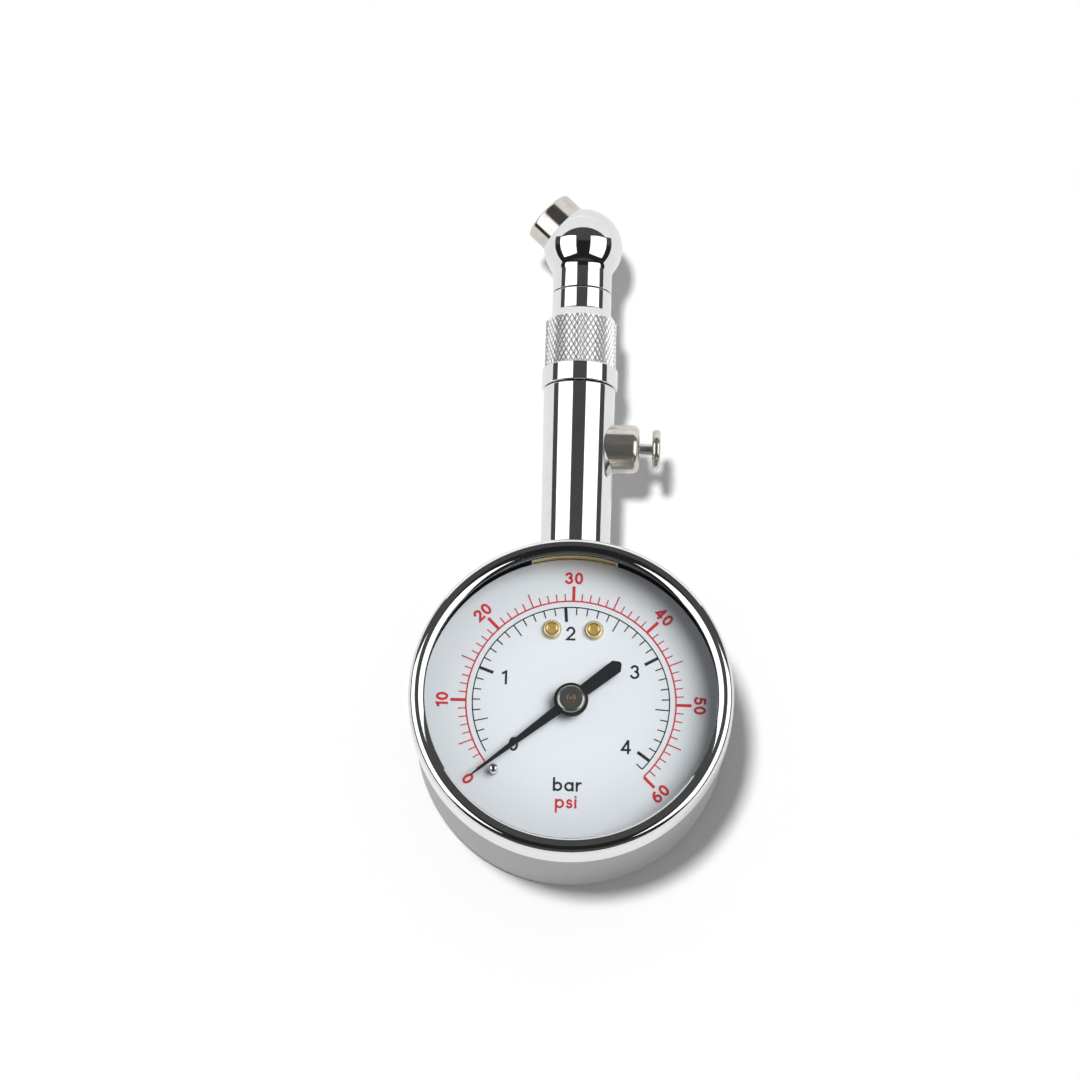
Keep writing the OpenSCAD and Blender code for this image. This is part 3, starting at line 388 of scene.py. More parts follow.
def knurled_chrome():
    """Chrome of the collar, with painted shade along the bottom of the knurl's grooves."""
    finish = Finish("knurled_chrome", colours().chrome)
    x, y, z = finish.at.parts()
    radius = distance(x, z - STEM_Z / MM)
    start, end, edge = KNURL_Y / MM, KNURL_END / MM, 0.1
    knurl = y.ramp(start, start + edge) * (1 - y.ramp(end - edge, end))
    groove = (sizes().knurl_r - sizes().knurl_depth) / MM + 0.02
    # Painted shade: the base colour goes almost black along the bottom of each groove of the knurl.
    groove_shade = knurl * (1 - radius.ramp(groove, groove + 0.04))
    finish.tint(groove_shade, 0.95)
    finish.set("Metallic", 1 - 0.4 * knurl)
    finish.set("Roughness", 0.05 + 0.13 * knurl + 0.2 * groove_shade)
    return finish.material


def dark_nickel():
    """Dark cap on the pointer: rings around its centre."""
    finish = Finish("dark_nickel", colours().dark_nickel, metallic=0.93)
    x, y, _ = finish.at.parts()
    grooves = finish.rings(distance(x, y), 4.0)
    finish.set("Roughness", 0.1 + 0.08 * grooves)
    finish.tint(grooves.ramp(0.3, 0.7), 0.1)
    finish.relief(grooves, 0.001 * MM)
    return finish.material


def steel():
    """Turned steel of screws, pins and arbors."""
    return turned("steel", colours().steel, 0.15, 0.006 * MM, (0, 0.2, 1), 0.95)


def brass():
    """Machined brass with brushed lines and darker, warmer stains."""
    finish = Finish("brass", colours().brass, metallic=0.6)
    _, y, z = finish.at.parts()
    lines = finish.rings(z + y * 0.15, 4.5)
    stain = finish.noise(finish.at, 0.7, 4)
    finish.set("Roughness", 0.3 + 0.14 * lines + 0.08 * stain)
    finish.tint(stain.ramp(0.4, 0.75), 0.2)
    finish.relief(lines, 0.005 * MM)
    return finish.material


def polished_brass():
    """Bright brass of the dial screws: a pale rim, partly the washers' own paler metal and partly a
    painted highlight, a painted ring of shade around the dimple, and gold inside.
    """
    finish = Finish("polished_brass", colours().screw_gold, metallic=0.6)
    # Pale rim colour: partly the washers' own paler metal, partly a painted highlight. Dark ring
    # colour: painted shade around the dimple.
    pale_rim_and_highlight, dimple_ring_shade = (1.0, 0.9, 0.64), (0.3, 0.15, 0.03)
    x, y, _ = finish.at.parts()
    centre, reach = middle("dial_washers") / MM, half_span("dial_washers") / MM
    radius = distance(abs(x - centre.x) - (reach.x - reach.y), y - centre.y)
    rim = radius.ramp(1.26, 1.34)
    groove = radius.ramp(1.04, 1.14) * (1 - rim)
    bright = finish.blend(rim, finish.colour, pale_rim_and_highlight)
    # Painted shade: the ring round the dimple is darkened to a deep brown.
    finish.set("Base Color", finish.blend(groove * 0.85, bright, dimple_ring_shade))
    finish.set("Roughness", 0.1 + 0.1 * rim)
    return finish.material


def bronze():
    """Drawn tube and spring strip, heat-tinted in places."""
    finish = Finish("bronze", colours().bronze, metallic=1)
    heat_tint = (0.42, 0.2, 0.11)
    heat = finish.noise(finish.at, 0.12, 2)
    grain = finish.noise(finish.at, 6.0, 3)
    finish.set("Roughness", 0.24 + 0.14 * grain)
    finish.set("Base Color", finish.blend(heat.ramp(0.42, 0.68), finish.colour, heat_tint))
    finish.relief(grain, 0.006 * MM)
    return finish.material


def enamel():
    """White dial: a satin enamel with a fine grain, and painted shade that darkens it towards its rim.
    """
    finish = Finish("dial", colours().enamel, roughness=0.42, specular=0.35)
    x, y, _ = finish.at.parts()
    cloud = finish.noise(finish.at, 0.05, 2)
    grain = finish.noise(finish.at, 7.0, 2)
    # Painted shade: the base colour darkens from the middle out to the rim; the cloud and grain terms
    # are random tone.
    rim = distance(x, y).ramp(10, 29.5)
    finish.tint((rim * 0.8 + cloud * 0.15 + grain * 0.05).smaller(1.0), 0.2)
    finish.set("Roughness", 0.36 + 0.16 * grain)
    finish.relief(grain, 0.002 * MM)
    return finish.material


def ink(name, colour):
    """Screen-printed ink: slightly uneven in tone and thickness."""
    finish = Finish(name, colour, roughness=0.45, specular=0.4)
    patch = finish.noise(finish.at, 2.4, 3)
    finish.tint(patch.ramp(0.35, 0.7), -0.35)
    finish.set("Roughness", 0.38 + 0.2 * patch)
    finish.relief(patch, 0.004 * MM)
    return finish.material


def black_ink():
    return ink("black_ink", colours().black_ink)


def red_ink():
    return ink("red_ink", colours().red_ink)


def black_paint():
    """Matt paint of the pointer, with a fine spray texture and a few dust specks."""
    finish = Finish("black_paint", colours().black_paint, roughness=0.4, specular=0.45)
    spray = finish.noise(finish.at, 5.0, 3)
    dust = finish.noise(finish.at, 2.6, 1).ramp(0.78, 0.8)
    finish.set("Base Color", finish.blend(dust, finish.colour, grey(0.16)))
    finish.set("Roughness", 0.32 + 0.2 * spray)
    finish.relief(spray, 0.008 * MM)
    return finish.material


def rubber():
    """Moulded rubber with a dull grey bloom."""
    finish = Finish("rubber", colours().rubber, roughness=0.6, specular=0.35)
    bloom = finish.noise(finish.at, 1.2, 3)
    finish.set("Base Color", finish.blend(bloom.ramp(0.45, 0.8), finish.colour, (0.06, 0.06, 0.058)))
    finish.set("Roughness", 0.5 + 0.22 * bloom)
    finish.relief(finish.noise(finish.at, 8.0, 2), 0.01 * MM)
    return finish.material


def glass():
    """Flat window: clear, with a film of dust; its outer side reflects more at a slant."""
    material = bpy.data.materials.new("glass" + MADE)
    material.use_nodes = True
    nodes = Nodes(material.node_tree)
    at = nodes.node("ShaderNodeTexCoord").out("Object") * (1 / MM)
    film = nodes.noise(at, 0.3, 4)
    clear = nodes.node("ShaderNodeBsdfTransparent", {}, {"Color": (0.975, 0.985, 0.985)})
    gloss = nodes.node("ShaderNodeBsdfGlossy", {}, {"Color": (1, 1, 1), "Roughness": 0.03})
    outer_side = 1 - nodes.node("ShaderNodeNewGeometry").out("Backfacing")
    mirror = nodes.node("ShaderNodeFresnel", {}, {"IOR": 1.46}) * (0.75 + 0.2 * film) * outer_side
    surface = nodes.node("ShaderNodeMixShader", {}, {0: mirror, 1: clear, 2: gloss})
    nodes.node("ShaderNodeOutputMaterial", {}, {"Surface": surface})
    return material


FINISHES = {
    "chrome": chrome, "satin_case": satin_chrome, "satin_nickel": satin_nickel,
    "valve_nickel": valve_nickel, "knurled_chrome": knurled_chrome, "dark_nickel": dark_nickel,
    "steel": steel, "brass": brass, "polished_brass": polished_brass, "bronze": bronze, "dial": enamel,
    "black_paint": black_paint, "rubber": rubber, "glass": glass, "black_ink": black_ink,
    "red_ink": red_ink,
}


def finish_named(name):
    """The material of that name, made at its first use."""
    return bpy.data.materials.get(name + MADE) or FINISHES[name]()


# --- Mesh building ---------------------------------------------------------------------------

def rounded(corners, steps=5):
    """Profile points where each corner (radius, height, round) becomes an arc of that round."""
    points = []
    for index, (x, y, size) in enumerate(corners):
        here = Vector((x, y))
        if not size:
            points.append(here)
            continue
        back = (Vector(corners[index - 1][:2]) - here).normalized()
        ahead = (Vector(corners[(index + 1) % len(corners)][:2]) - here).normalized()
        half = back.angle(ahead) / 2
        centre = here + (back + ahead).normalized() * size / sin(half)
        start = here + back * size / tan(half) - centre
        end = here + ahead * size / tan(half) - centre
        points += [centre + start.slerp(end, step / steps) * size for step in range(steps + 1)]
    return points


def oval(x, y, rx, ry, start, end, steps=16):
    """Points on an elliptical arc, angles in degrees."""
    angles = [radians(start + (end - start) * step / steps) for step in range(steps + 1)]
    return [Vector((x + rx * cos(angle), y + ry * sin(angle))) for angle in angles]


def bow(centre, radius, start, end, steps):
    """Points on a circular arc."""
    return oval(*centre, radius, radius, start, end, steps)


def lathe(profile, facets, line=Matrix(), trim=None, hollow=False, mesh=None):
    """Mesh turned about a line from (radius, height) points; trim moves points that reach too far."""
    mesh = mesh or bmesh.new()
    rings = []
    for radius, height in profile:
        around = 1 if radius < 1e-8 else facets
        ring = []
        for step in range(around):
            angle = 2 * pi * step / facets
            point = line @ Vector((radius * cos(angle), radius * sin(angle), height))
            ring.append(mesh.verts.new(trim(point) if trim else point))
        rings.append(ring)
    pairs = list(zip(rings, rings[1:]))
    if hollow:
        pairs.append((rings[-1], rings[0]))
    for lower, upper in pairs:
        for step in range(facets):
            ahead = (step + 1) % facets
            corners = (lower[step % len(lower)], lower[ahead % len(lower)],
                       upper[ahead % len(upper)], upper[step % len(upper)])
            mesh.faces.new(dict.fromkeys(corners))
    return mesh


def prism(outline, bottom, top, mesh):
    """Closed solid over an outline of (x, y) points."""
    floor = [mesh.verts.new((x, y, bottom)) for x, y in outline]
    roof = [mesh.verts.new((x, y, top)) for x, y in outline]
    mesh.faces.new(floor)
    mesh.faces.new(roof)
    for index in range(len(outline)):
        ahead = (index + 1) % len(outline)
        mesh.faces.new((floor[index], floor[ahead], roof[ahead], roof[index]))
    return mesh


def add_piece(name, mesh, body, slot, stands_for=(), finish=None, crease=30):
    """Makes an object of a mesh in the gauge's frame, finished, and riding on a body."""
    bmesh.ops.recalc_face_normals(mesh, faces=mesh.faces)
    data = bpy.data.meshes.new(name)
    mesh.to_mesh(data)
    mesh.free()
    data.shade_smooth()
    data.set_sharp_from_angle(angle=radians(crease))
    data.materials.append(finish_named(finish or slot))
    piece = bpy.data.objects.new(name, data)
    bpy.context.collection.objects.link(piece)
    even = piece.modifiers.new("even_normals", "WEIGHTED_NORMAL")
    even.keep_sharp = True
    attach(piece, body)
    if stands_for:
        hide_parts(*stands_for)
    return piece


def dress(*nodes):
    """Gives rigid parts the finish of their own slot."""
    slots = {part["node"]: part["material_slot"] for part in frame["record"]["subparts"]}
    for node in nodes:
        for holder in frame["nodes"][node].material_slots:
            holder.material = finish_named(slots[node])


# --- Case, bezel and window ------------------------------------------------------------------

class GAUGE_OT_case(bpy.types.Operator):
    """Finish the drawn case, its screws, the socket block and the gasket"""

    bl_idname = "gauge.case"
    bl_label = "Case and socket"

    def execute(self, context):
        dress("case_cup", "case_screws", "socket_block", "lens_gasket")
        return {"FINISHED"}


class GAUGE_OT_bezel(bpy.types.Operator):
    """Turn the bezel: a half-round bead with a lip over the glass and a skirt over the case"""

    bl_idname = "gauge.bezel"
    bl_label = "Bezel"

    def execute(self, context):
        bead_r = 1.55 * MM
        slope_r = 2.3 * MM
        lip_h = 0.15 * MM
        glass_fit = 0.01 * MM
        edge = 0.2 * MM
        steps = 24
        wall_r = CASE_R + SEAT_FIT
        crest_r = BEZEL_R - bead_r
        lip = LENS_TOP + glass_fit
        slope_z = CREST_Z - slope_r
        lip_angle = 180 - degrees(asin((lip + lip_h - slope_z) / slope_r))
        slope = bow((crest_r, slope_z), slope_r, lip_angle, 90, steps)
        bead = bow((crest_r, CREST_Z - bead_r), bead_r, 90, 0, steps)
        skirt = [(BEZEL_R, CREST_Z - bead_r, 0), (BEZEL_R, SKIRT_Z, edge), (wall_r, SKIRT_Z, 0)]
        profile = [Vector((wall_r, SKIRT_Z + edge)), Vector((wall_r, lip)), Vector((slope[0].x, lip))]
        profile += slope + bead[1:] + rounded(skirt)[1:]
        mesh = lathe(profile, sizes().facets, hollow=True)
        add_piece("bezel", mesh, "gauge", "chrome", ["bezel_ring"])
        return {"FINISHED"}


class GAUGE_OT_window(bpy.types.Operator):
    """Finish the flat glass"""

    bl_idname = "gauge.window"
    bl_label = "Window"

    def execute(self, context):
        dress("lens")
        return {"FINISHED"}


# --- Dial ------------------------------------------------------------------------------------

def polar(radius, angle):
    """Point on the dial at a distance and an angle in degrees."""
    return radius * cos(radians(angle)), radius * sin(radians(angle))


BOWL = oval(0.3, 0.31, 0.3, 0.31, 90, 450, 28)
# Centre lines of the strokes of each character, for a capital height of 1, with its width.
GLYPHS = {
    "0": (0.6, [oval(0.3, 0.5, 0.3, 0.5, 90, 450, 32)]),
    "1": (0.26, [[(0.0, 0.86), (0.26, 1.0), (0.26, 0.0)]]),
    "2": (0.58, [oval(0.29, 0.7, 0.28, 0.3, 165, -32) + [(0.0, 0.0), (0.58, 0.0)]]),
    "3": (0.56, [oval(0.25, 0.76, 0.25, 0.24, 155, -68) + oval(0.26, 0.27, 0.3, 0.27, 72, -155)]),
    "4": (0.64, [[(0.5, 0.0), (0.5, 1.0)], [(0.47, 1.0), (0.0, 0.26), (0.64, 0.26)]]),
    "5": (0.54, [[(0.5, 1.0), (0.1, 1.0), (0.07, 0.57)] + oval(0.24, 0.31, 0.3, 0.31, 118, -150)]),
    "6": (0.6, [BOWL, oval(0.72, 0.33, 0.72, 0.7, 180, 112)]),
    "b": (0.6, [BOWL, [(0.0, 0.0), (0.0, 1.0)]]),
    "a": (0.6, [BOWL, [(0.6, 0.0), (0.6, 0.62)]]),
    "r": (0.3, [[(0.0, 0.0), (0.0, 0.62)], oval(0.3, 0.3, 0.3, 0.32, 165, 88, 8)]),
    "p": (0.6, [BOWL, [(0.0, -0.4), (0.0, 0.62)]]),
    "s": (0.36, [oval(0.18, 0.465, 0.16, 0.155, 30, 262) + oval(0.18, 0.155, 0.19, 0.155, 82, -150)]),
    "i": (0.0, [[(0.0, 0.0), (0.0, 0.62)], [(0.0, 0.9), (0.0, 0.91)]]),
}


class Print:
    """Ink laid on the dial: closed strokes, each a hair higher than the one that it crosses."""

    # Share of the thickness by which a crossing stroke is higher.
    lift_share = 0.08

    def __init__(self, thickness):
        self.mesh = bmesh.new()
        self.thickness = thickness

    def stroke(self, points, width, lift=0):
        """A stroke of even width along a line of points, closed if it ends where it began."""
        line = [Vector(point) for point in points]
        loop = (line[0] - line[-1]).length < 1e-7
        if loop:
            line.pop()
        count = len(line)
        sides = []
        for index, here in enumerate(line):
            back = here - line[index - 1] if loop or index else None
            ahead = line[(index + 1) % count] - here if loop or index < count - 1 else None
            back = (back or ahead).normalized()
            ahead = (ahead or back).normalized()
            across = (back + ahead).normalized().orthogonal()
            reach = width / 2 / max(across.dot(ahead.orthogonal()), 0.45)
            sides.append((here + across * reach, here - across * reach))
        top = DIAL_TOP + self.thickness * (1 + lift * self.lift_share)
        new, heights = self.mesh.verts.new, (DIAL_TOP, top)
        corners = [[new((*side, z)) for side in pair for z in heights] for pair in sides]
        for index in range(count if loop else count - 1):
            a, b = corners[index], corners[(index + 1) % count]
            for first, second in ((0, 1), (1, 3), (3, 2), (2, 0)):
                self.mesh.faces.new((a[first], a[second], b[second], b[first]))
        if not loop:
            for end in (corners[0], corners[-1]):
                self.mesh.faces.new((end[0], end[1], end[3], end[2]))

    def arc(self, radius, start, end, width):
        """Part of a circle about the dial's centre, from one angle to another, in degrees."""
        steps = round(abs(end - start) / 2)
        self.stroke(bow((0, 0), radius, start, end, steps), width)

    def tick(self, angle, start, end, width):
        """A radial mark."""
        self.stroke([polar(start, angle), polar(end, angle)], width, 1)

    def marks(self, values, angle_of, edge, kinds):
        """A mark from an edge at each value; kinds: end and width for tens, fives and the rest."""
        for value in values:
            end, width = kinds[0 if value % 10 == 0 else 1 if value % 5 == 0 else 2]
            self.tick(angle_of(value), edge, end, width)

    def text(self, words, place, turn, height, weight, gap):
        """Characters centred on a place, turned by an angle in degrees."""
        scale = height - weight
        room = weight + gap
        widths = [GLYPHS[letter][0] * scale for letter in words]
        start = -(sum(widths) + room * (len(words) - 1)) / 2
        spin = Matrix.Rotation(radians(turn), 2)
        for letter, width in zip(words, widths):
            for lift, points in enumerate(GLYPHS[letter][1]):
                line = [Vector((start + px * scale, (py - 0.5) * scale)) for px, py in points]
                if (line[0] - line[-1]).length > 1e-7:
                    line[0] += (line[0] - line[1]).normalized() * weight / 2
                    line[-1] += (line[-1] - line[-2]).normalized() * weight / 2
                self.stroke([spin @ point + Vector(place) for point in line], weight, lift)
            start += width + room


class GAUGE_OT_dial(bpy.types.Operator):
    """Finish the dial plate and turn its screws, washers and stop pin"""

    bl_idname = "gauge.dial"
    bl_label = "Dial and screws"

    def execute(self, context):
        dress("dial_plate")
        centre, reach = middle("dial_washers"), half_span("dial_washers")
        screw_y, head_r = middle("dial_screws").y, half_span("dial_screws").y
        head_low, head_top = lowest("dial_screws").z, highest("dial_screws").z
        shank_r, hole_r = 1 * MM, 1.1 * MM
        dimple_r, dimple_depth = 1.24 * MM, 0.38 * MM
        facets = 72
        head = rounded([
            (0, head_low, 0), (shank_r, head_low, 0.1 * MM), (shank_r, WASHER_TOP, 0),
            (head_r, WASHER_TOP, 0.08 * MM), (head_r, head_top, 0.2 * MM),
            (dimple_r, head_top, 0.12 * MM), (0, head_top - dimple_depth, 0)])
        washer = rounded([
            (hole_r, DIAL_TOP, 0), (reach.y, DIAL_TOP, 0.05 * MM), (reach.y, WASHER_TOP, 0.12 * MM),
            (hole_r, WASHER_TOP, 0)])
        screws, washers = bmesh.new(), bmesh.new()
        for side in (-1, 1):
            line = Matrix.Translation((centre.x + side * (reach.x - reach.y), screw_y, 0))
            lathe(head, facets, line, mesh=screws)
            lathe(washer, facets, line, hollow=True, mesh=washers)
        add_piece("dial_screw_pair", screws, "gauge", "brass", ["dial_screws"], "polished_brass")
        add_piece("dial_washer_pair", washers, "gauge", "steel", ["dial_washers"], "polished_brass")
        low, high = lowest("stop_pin").z, highest("stop_pin").z
        pin_r = half_span("stop_pin").x
        pin = rounded([(0, low, 0), (pin_r, low, 0), (pin_r, high, pin_r * 0.8), (0, high, 0)], 10)
        line = Matrix.Translation((*middle("stop_pin").xy, 0))
        add_piece("stop_pin_turned", lathe(pin, 64, line), "gauge", "chrome", ["stop_pin"])
        return {"FINISHED"}


class GAUGE_OT_print(bpy.types.Operator):
    """Print the red outer scale, the black inner scale and their unit words"""

    bl_idname = "gauge.print"
    bl_label = "Dial print"

    psi_zero, psi_step = 225, 4.5
    psi_first, psi_last = 3, 60
    psi_start = 217.7
    bar_one, bar_step = 159.8, 6.527
    bar_first, bar_last = 2, 41
    line = 0.24 * MM
    bold = 0.62 * MM

    def execute(self, context):
        self.outer_scale()
        self.inner_scale()
        return {"FINISHED"}

    def outer_scale(self):
        size = sizes()
        red = Print(size.ink)
        radius = size.psi_arc_r
        edge = radius + self.line / 2
        ends = (radius + 3.07 * MM, radius + 2.95 * MM, radius + 1.57 * MM)
        red.arc(radius, self.psi_start, self.psi_angle(self.psi_last), self.line * 1.3)
        red.tick(self.psi_start, edge, radius + 2.2 * MM, self.bold)
        red.marks(range(self.psi_first, self.psi_last + 1), self.psi_angle, edge,
                  list(zip(ends, (self.bold, self.line * 1.1, self.line))))
        numeral_r = 25.45 * MM
        for value in range(0, self.psi_last + 1, 10):
            angle = 218.8 if value == 0 else self.psi_angle(value)
            turn = angle + 90 if value == self.psi_last else angle - 90
            red.text(str(value), polar(numeral_r, angle), turn, size.psi_numeral, 0.5 * MM, 0.3 * MM)
        red.text("psi", (-0.5 * MM, -20.05 * MM), 0, 2.75 * MM, 0.43 * MM, 0.36 * MM)
        add_piece("outer_scale_print", red.mesh, "gauge", "dial", finish="red_ink")

    def inner_scale(self):
        size = sizes()
        black = Print(size.ink)
        radius = size.bar_arc_r
        edge = radius - self.line / 2
        ends = (radius - 2.96 * MM, radius - 2.76 * MM, radius - 1.56 * MM)
        black.arc(radius, self.bar_angle(self.bar_first), self.bar_angle(self.bar_last), self.line)
        black.marks(range(self.bar_first + 1, self.bar_last + 1), self.bar_angle, edge,
                    list(zip(ends, (self.bold, self.line, self.line))))
        numeral_r = 14.1 * MM
        for value, angle in enumerate((218.1, 160.2, 91.6, 27.7, 321.6)):
            black.text(str(value), polar(numeral_r, angle), 0, size.bar_numeral, 0.44 * MM, 0.3 * MM)
        black.text("bar", (-0.3 * MM, -16.6 * MM), 0, 2.8 * MM, 0.43 * MM, 0.4 * MM)
        add_piece("inner_scale_print", black.mesh, "gauge", "dial", finish="black_ink")

    def psi_angle(self, value):
        return self.psi_zero - value * self.psi_step

    def bar_angle(self, tenths):
        return self.bar_one - (tenths - 10) * self.bar_step


class GAUGE_OT_pointer(bpy.types.Operator):
    """Cut the pointer, its disc and its counterweight tail, and turn the cap"""

    bl_idname = "gauge.pointer"
    bl_label = "Pointer and cap"

    def execute(self, context):
        zero = radians(219)
        length = sizes().pointer_length
        bottom = lowest("pointer").z
        top = bottom + 0.4 * MM
        point = 0.8 * MM
        tail = 12.4 * MM
        chamfer = 1.1 * MM
        half_tail, half_root, half_blade, half_tip = 1.4 * MM, 1.15 * MM, 1.05 * MM, 0.15 * MM
        side = [
            (length - point, half_tip), (0, half_blade), (0, half_root), (chamfer - tail, half_tail),
            (-tail, half_tail - chamfer)]
        outline = [(length, 0)] + side + [(x, -y) for x, y in reversed(side)]
        blade = prism(outline, bottom, top, bmesh.new())
        rim = [edge for edge in blade.edges if all(vert.co.z > bottom for vert in edge.verts)]
        bmesh.ops.bevel(blade, geom=rim, offset=0.05 * MM, segments=2, affect="EDGES", profile=0.5)
        bmesh.ops.transform(blade, matrix=Matrix.Rotation(zero, 4, "Z"), verts=blade.verts)
        hub_r, hub_top = 3.4 * MM, highest("pointer").z
        hub = [(0, bottom, 0), (hub_r, bottom, 0), (hub_r, hub_top, 0.09 * MM), (0, hub_top, 0)]
        lathe(rounded(hub), 96, mesh=blade)
        add_piece("needle", blade, "pointer_group", "black_paint", ["pointer"])

        cap_r = half_span("pointer_cap").x
        low, high = lowest("pointer_cap").z, highest("pointer_cap").z
        hole_r = 0.8 * MM
        cap = lathe(rounded([
            (hole_r, low, 0), (cap_r, low, 0), (cap_r, high, 0.6 * MM), (hole_r, high, 0.06 * MM),
            (hole_r, high - 0.3 * MM, 0)], 12), 144, hollow=True)
        add_piece("needle_cap", cap, "pointer_group", "dark_nickel", ["pointer_cap"])
        boss_r, boss_top = hole_r - 0.03 * MM, high - 0.12 * MM
        boss = lathe(rounded([
            (0, low, 0), (boss_r, low, 0), (boss_r, boss_top, 0.1 * MM),
            (0.4 * MM, boss_top, 0.05 * MM), (0, high - 0.4 * MM, 0)], 4), 48)
        add_piece("arbor_end", boss, "pointer_group", "brass", (), "bronze")
        return {"FINISHED"}


class GAUGE_OT_movement(bpy.types.Operator):
    """Finish the Bourdon tube and the geared movement behind the dial"""

    bl_idname = "gauge.movement"
    bl_label = "Movement"

    def execute(self, context):
        dress("bourdon_tube", "tube_tip", "tip_pin", "link", "sector_pin", "sector_gear",
              "sector_arbor", "pinion_arbor", "hairspring", "hairspring_stud", "back_plate",
              "front_plate", "movement_pillars", "movement_screws")
        return {"FINISHED"}


# --- Stem and bleed valve --------------------------------------------------------------------

def clear_of_case(point):
    """Moves a point of the stem out of the case, along the stem."""
    wall = CASE_R + SEAT_FIT
    if hypot(point.x, point.y) < wall:
        point.y = sqrt(wall ** 2 - point.x ** 2)
    return point


def stem_radius(y):
    """Radius of the stem above its foot."""
    size = sizes()
    taper_end = CASE_R + size.foot_length
    share = min(max((y - taper_end) / (STEM_END - taper_end), 0), 1)
    return size.stem_waist_r + share * (size.stem_r - size.stem_waist_r)


def clear_of_stem(point):
    """Moves a point of the bleed valve out of the stem, along the valve."""
    wall = stem_radius(point.y) + SEAT_FIT
    height = point.z - STEM_Z
    if hypot(point.x, height) < wall:
        point.x = sqrt(wall ** 2 - height ** 2)
    return point


class GAUGE_OT_stem(bpy.types.Operator):
    """Turn the stem with its flared foot, which sits on the case"""

    bl_idname = "gauge.stem"
    bl_label = "Stem"

    def execute(self, context):
        size = sizes()
        land = CASE_R + 0.4 * MM
        inside = CASE_R - 2.5 * MM
        waist_y = CASE_R + size.foot_length
        shoulder_y = COLLAR_Y - 0.15 * MM
        bore_r = 3.5 * MM
        spigot_r = 5.5 * MM
        corners = [
            (bore_r, inside, 0), (size.stem_foot_r / 2, inside, 0), (size.stem_foot_r, inside, 0),
            (size.stem_foot_r, land, 0), (size.stem_waist_r, land + 1.5 * MM, 3.5 * MM),
            (size.stem_waist_r, waist_y, 0),
            (size.stem_r, shoulder_y, 0.3 * MM), (spigot_r, shoulder_y, 0), (spigot_r, STEM_END, 0),
            (bore_r, STEM_END, 0)]
        mesh = lathe(rounded(corners, 12), size.facets, STEM_LINE, clear_of_case, hollow=True)
        add_piece("stem", mesh, "gauge", "chrome", ["stem_tube"])
        return {"FINISHED"}


class GAUGE_OT_bleed_valve(bpy.types.Operator):
    """Turn the bleed valve's body and button, and finish its rod, seal and spring"""

    bl_idname = "gauge.bleed_valve"
    bl_label = "Bleed valve"

    def execute(self, context):
        hole_r = 1.3 * MM
        body = rounded([
            (hole_r, 0, 0), (BLEED_R, 0, 0), (BLEED_R, BLEED_END, 1.4 * MM),
            (hole_r + 0.2 * MM, BLEED_END, 0), (hole_r, BLEED_END - 0.2 * MM, 0)], 12)
        mesh = lathe(body, 128, BLEED_LINE, clear_of_stem, hollow=True)
        add_piece("bleed_valve_body", mesh, "gauge", "satin_nickel", ["bleed_body"], "valve_nickel")
        edge = 0.66 * MM
        button = rounded([
            (0, BUTTON_X, 0), (BUTTON_R, BUTTON_X, edge), (BUTTON_R, BUTTON_END, edge),
            (0, BUTTON_END, 0)], 10)
        add_piece("bleed_valve_button", lathe(button, 128, BLEED_LINE), "bleed_plunger_group",
                  "satin_nickel", ["bleed_button"], "valve_nickel")
        dress("bleed_plunger", "bleed_seal", "bleed_spring")
        return {"FINISHED"}


# --- Collar and head -------------------------------------------------------------------------

def knurl_band(start, end, mesh):
    """Diamond knurl between two stations on the stem's line, with V grooves between the diamonds."""
    size = sizes()
    columns = 2 * size.knurl_diamonds
    rows = size.knurl_rows
    top_r = size.knurl_r
    valley_r = top_r - size.knurl_depth
    crown_r = top_r * 1.0015
    top_share = 0.3
    step = (end - start) / rows

    def point(i, j, radius):
        angle = 2 * pi * i / columns
        place = Vector((radius * cos(angle), radius * sin(angle), start + j * step))
        return mesh.verts.new(STEM_LINE @ place)

    grid = [[point(i, j, valley_r) if (i + j) % 2 or j in (0, rows) else None for i in range(columns)]
            for j in range(rows + 1)]
    compass = ((1, 0), (0, 1), (-1, 0), (0, -1))
    for j in range(rows + 1):
        for i in range(j % 2, columns, 2):
            ways = [(di, dj) for di, dj in compass if 0 <= j + dj <= rows]
            base = [grid[j + dj][(i + di) % columns] for di, dj in ways]
            tops = [point(i + di * top_share, j + dj * top_share, top_r) for di, dj in ways]
            ring = list(zip(base, tops))
            if len(ways) == 4:
                crown = point(i, j, crown_r)
                for (low_a, top_a), (low_b, top_b) in zip(ring, ring[1:] + ring[:1]):
                    mesh.faces.new((low_a, low_b, top_b, top_a))
                    mesh.faces.new((top_a, top_b, crown))
                continue
            ends = dict(zip(ways, ring))
            right, left = ends[(1, 0)], ends[(-1, 0)]
            tip = ends[(0, 1)] if j == 0 else ends[(0, -1)]
            foot = grid[j][i]
            for a, b in ((right, tip), (tip, left)):
                mesh.faces.new((a[0], b[0], b[1], a[1]))
            mesh.faces.new((right[1], tip[1], left[1]))
            mesh.faces.new((left[0], foot, left[1]))
            mesh.faces.new((foot, right[0], right[1]))
            mesh.faces.new((foot, right[1], left[1]))
    for j in (0, rows):
        mesh.faces.new(grid[j])
    return mesh


